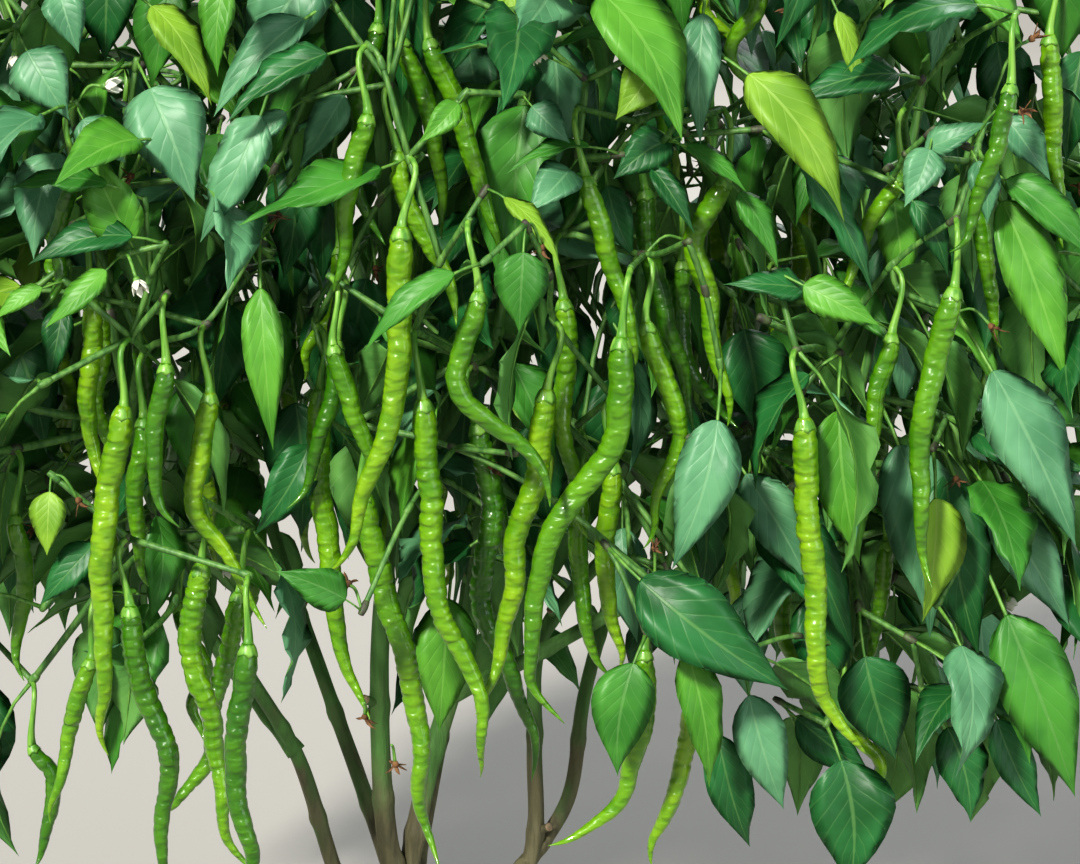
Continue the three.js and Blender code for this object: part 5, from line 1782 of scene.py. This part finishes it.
LEAF_VEIN = (0.13, 0.27, 0.08)
# The leaves' looks by tint, then the under side and the stalk. The dark tint is a deep green that also paints
# shade, the blue one paints a sheen of the sky, the bright one paints sunlight, and the under side's paler
# green also paints light that shines through the blade.
leaf_looks = [
    leaf_material("leaf_dark_green_and_painted_shade", (0.01, 0.078, 0.017), (0.021, 0.136, 0.034), LEAF_VEIN, 0.45, 0.9),
    leaf_material("leaf_mid", (0.029, 0.146, 0.016), (0.06, 0.23, 0.028), LEAF_VEIN, 0.47, 0.9),
    leaf_material("leaf_green_and_painted_sky_sheen", (0.056, 0.178, 0.082), (0.112, 0.285, 0.14), (0.2, 0.38, 0.19), 0.44, 0.9),
    leaf_material("leaf_green_and_painted_sunlight", (0.058, 0.212, 0.019), (0.104, 0.305, 0.032), (0.2, 0.41, 0.085), 0.46, 0.9),
    leaf_material("leaf_yellow", (0.118, 0.25, 0.018), (0.205, 0.37, 0.032), (0.32, 0.47, 0.1), 0.52, 0.9),
    leaf_material("leaf_under_and_painted_glow", (0.062, 0.19, 0.04), (0.108, 0.27, 0.06), (0.2, 0.36, 0.11), 0.62, -0.9),
    stalk_material("leaf_stalk", (0.07, 0.2, 0.03), (0.16, 0.34, 0.06)),
]
# The pods' greens, each dealt to a pod at random. The deep one is a darker green that also paints shade.
pod_looks = [
    pod_material("pod_bright", (0.068, 0.214, 0.002), (0.156, 0.335, 0.004)),
    pod_material("pod_lime", (0.09, 0.24, 0.002), (0.22, 0.39, 0.006)),
    pod_material("pod_mid", (0.044, 0.165, 0.001), (0.108, 0.276, 0.003)),
    pod_material("pod_deep_and_painted_shade", (0.02, 0.108, 0.001), (0.06, 0.195, 0.002)),
    stalk_material("calyx", (0.08, 0.24, 0.025), (0.2, 0.4, 0.06), 0.42),
]
twig_looks = [
    stalk_material("twig_green", (0.05, 0.15, 0.03), (0.12, 0.26, 0.055), 0.5),
    stalk_material("twig_node", (0.05, 0.045, 0.035), (0.09, 0.13, 0.05), 0.6),
]
blossom_looks = [
    stalk_material("petal_white", (0.62, 0.64, 0.5), (0.8, 0.8, 0.7), 0.55),
    stalk_material("petal_dry", (0.06, 0.028, 0.012), (0.2, 0.1, 0.04), 0.9),
    stalk_material("blossom_green", (0.07, 0.2, 0.03), (0.16, 0.34, 0.06)),
    stalk_material("anther", (0.1, 0.09, 0.14), (0.3, 0.28, 0.2), 0.7),
]
CUT_WOOD = stalk_material("cut_wood", (0.17, 0.12, 0.07), (0.3, 0.23, 0.14), 0.8)
trunk_looks = [bark_material("trunk_bark", (0.07, 0.13, 0.035), (0.2, 0.16, 0.09), 0.05, 0.2), CUT_WOOD]
bough_looks = [bark_material("bough_bark", (0.055, 0.14, 0.03), (0.13, 0.12, 0.06), 0.12, 0.42), CUT_WOOD]

for limb in LIMBS:
    limb_mesh(limb, trunk_looks if limb["name"] == "trunk" else bough_looks)
for mass in MASSES:
    grown = grow_finer(mass, grow_mass(mass))
    twigs_mesh(mass, grown, twig_looks)
    leaves = items_mesh(mass, "_leaves", LEAF_SEED, add_leaf, grown["leaves"], leaf_looks)
    items_mesh(mass, "_pods", POD_SEED, add_pod, grown["pods"], pod_looks)
    blossoms = grow_blossoms(mass, grown)
    if blossoms:
        items_mesh(mass, "_blossom", PETAL_SEED, add_blossom, blossoms, blossom_looks)


# The stage: a pale floor, soft light and the camera. Its places are in metres. A light's spread is the angle
# of a sun and the size of any other.
FLOOR_REACH = 60
FLOOR_COLOUR = (0.36, 0.345, 0.32, 1)
SKY_COLOUR = (0.88, 0.94, 1.0, 1)
SKY_STRENGTH = 0.5
LIGHTS = [
    dict(name="key", kind="SUN", place=(-4.6, -9.4, 8.4), aim=(0.05, -0.1, 0.55), power=4.7,
         colour=(1.0, 0.97, 0.9), spread=0.12),
    dict(name="fill", kind="AREA", place=(6.6, -5.6, 2.6), aim=(0.1, 0, 0.55), power=190,
         colour=(0.86, 0.93, 1.0), spread=5),
    dict(name="rim", kind="AREA", place=(2.6, 7.4, 7), aim=(0.1, 0, 0.6), power=420,
         colour=(0.95, 0.98, 1.0), spread=4),
]


def stage_floor():
    """A plain pale floor that reaches past the picture's far edge."""
    shading = Shading("floor", Base_Color=FLOOR_COLOUR, Roughness=1, Specular_IOR_Level=0)
    corners = [(x * FLOOR_REACH, y * FLOOR_REACH, 0) for x, y in ((-1, -1), (1, -1), (1, 1), (-1, 1))]
    mesh = bpy.data.meshes.new("floor")
    mesh.from_pydata(corners, [], [(0, 1, 2, 3)])
    mesh.materials.append(shading.material)
    floor = bpy.data.objects.new("floor", mesh)
    bpy.context.scene.collection.objects.link(floor)


def studio_light(name, kind, place, aim, power, colour, spread):
    light = bpy.data.lights.new(name, kind)
    light.energy = power
    light.color = colour
    setattr(light, "angle" if kind == "SUN" else "size", spread)
    lamp = bpy.data.objects.new(name, light)
    lamp.location = place
    lamp.rotation_mode = "QUATERNION"
    lamp.rotation_quaternion = Vector(np.array(aim) - np.array(place)).to_track_quat("-Z", "Y")
    bpy.context.scene.collection.objects.link(lamp)


def stage_light():
    """A warm key from high on the left, a cool fill from the right, a rim light from behind, and a sky."""
    for spec in LIGHTS:
        studio_light(**spec)
    world = bpy.data.worlds.new("studio")
    world.use_nodes = True
    sky = world.node_tree.nodes["Background"]
    sky.inputs["Color"].default_value = SKY_COLOUR
    sky.inputs["Strength"].default_value = SKY_STRENGTH
    bpy.context.scene.world = world
    bpy.context.scene.view_settings.view_transform = "Standard"
    bpy.context.scene.view_settings.look = "Medium High Contrast"


def stage_camera():
    """The camera stands where the photograph was taken from."""
    camera = bpy.data.cameras.new("camera")
    camera.sensor_width = SENSOR
    camera.lens = FOCAL_PIXELS * SENSOR / PICTURE_WIDTH
    viewer = bpy.data.objects.new("camera", camera)
    viewer.location = CAMERA_PLACE * MM
    viewer.rotation_euler = (math.pi / 2 - PITCH, 0, 0)
    bpy.context.scene.collection.objects.link(viewer)
    bpy.context.scene.camera = viewer


stage_floor()
stage_light()
stage_camera()
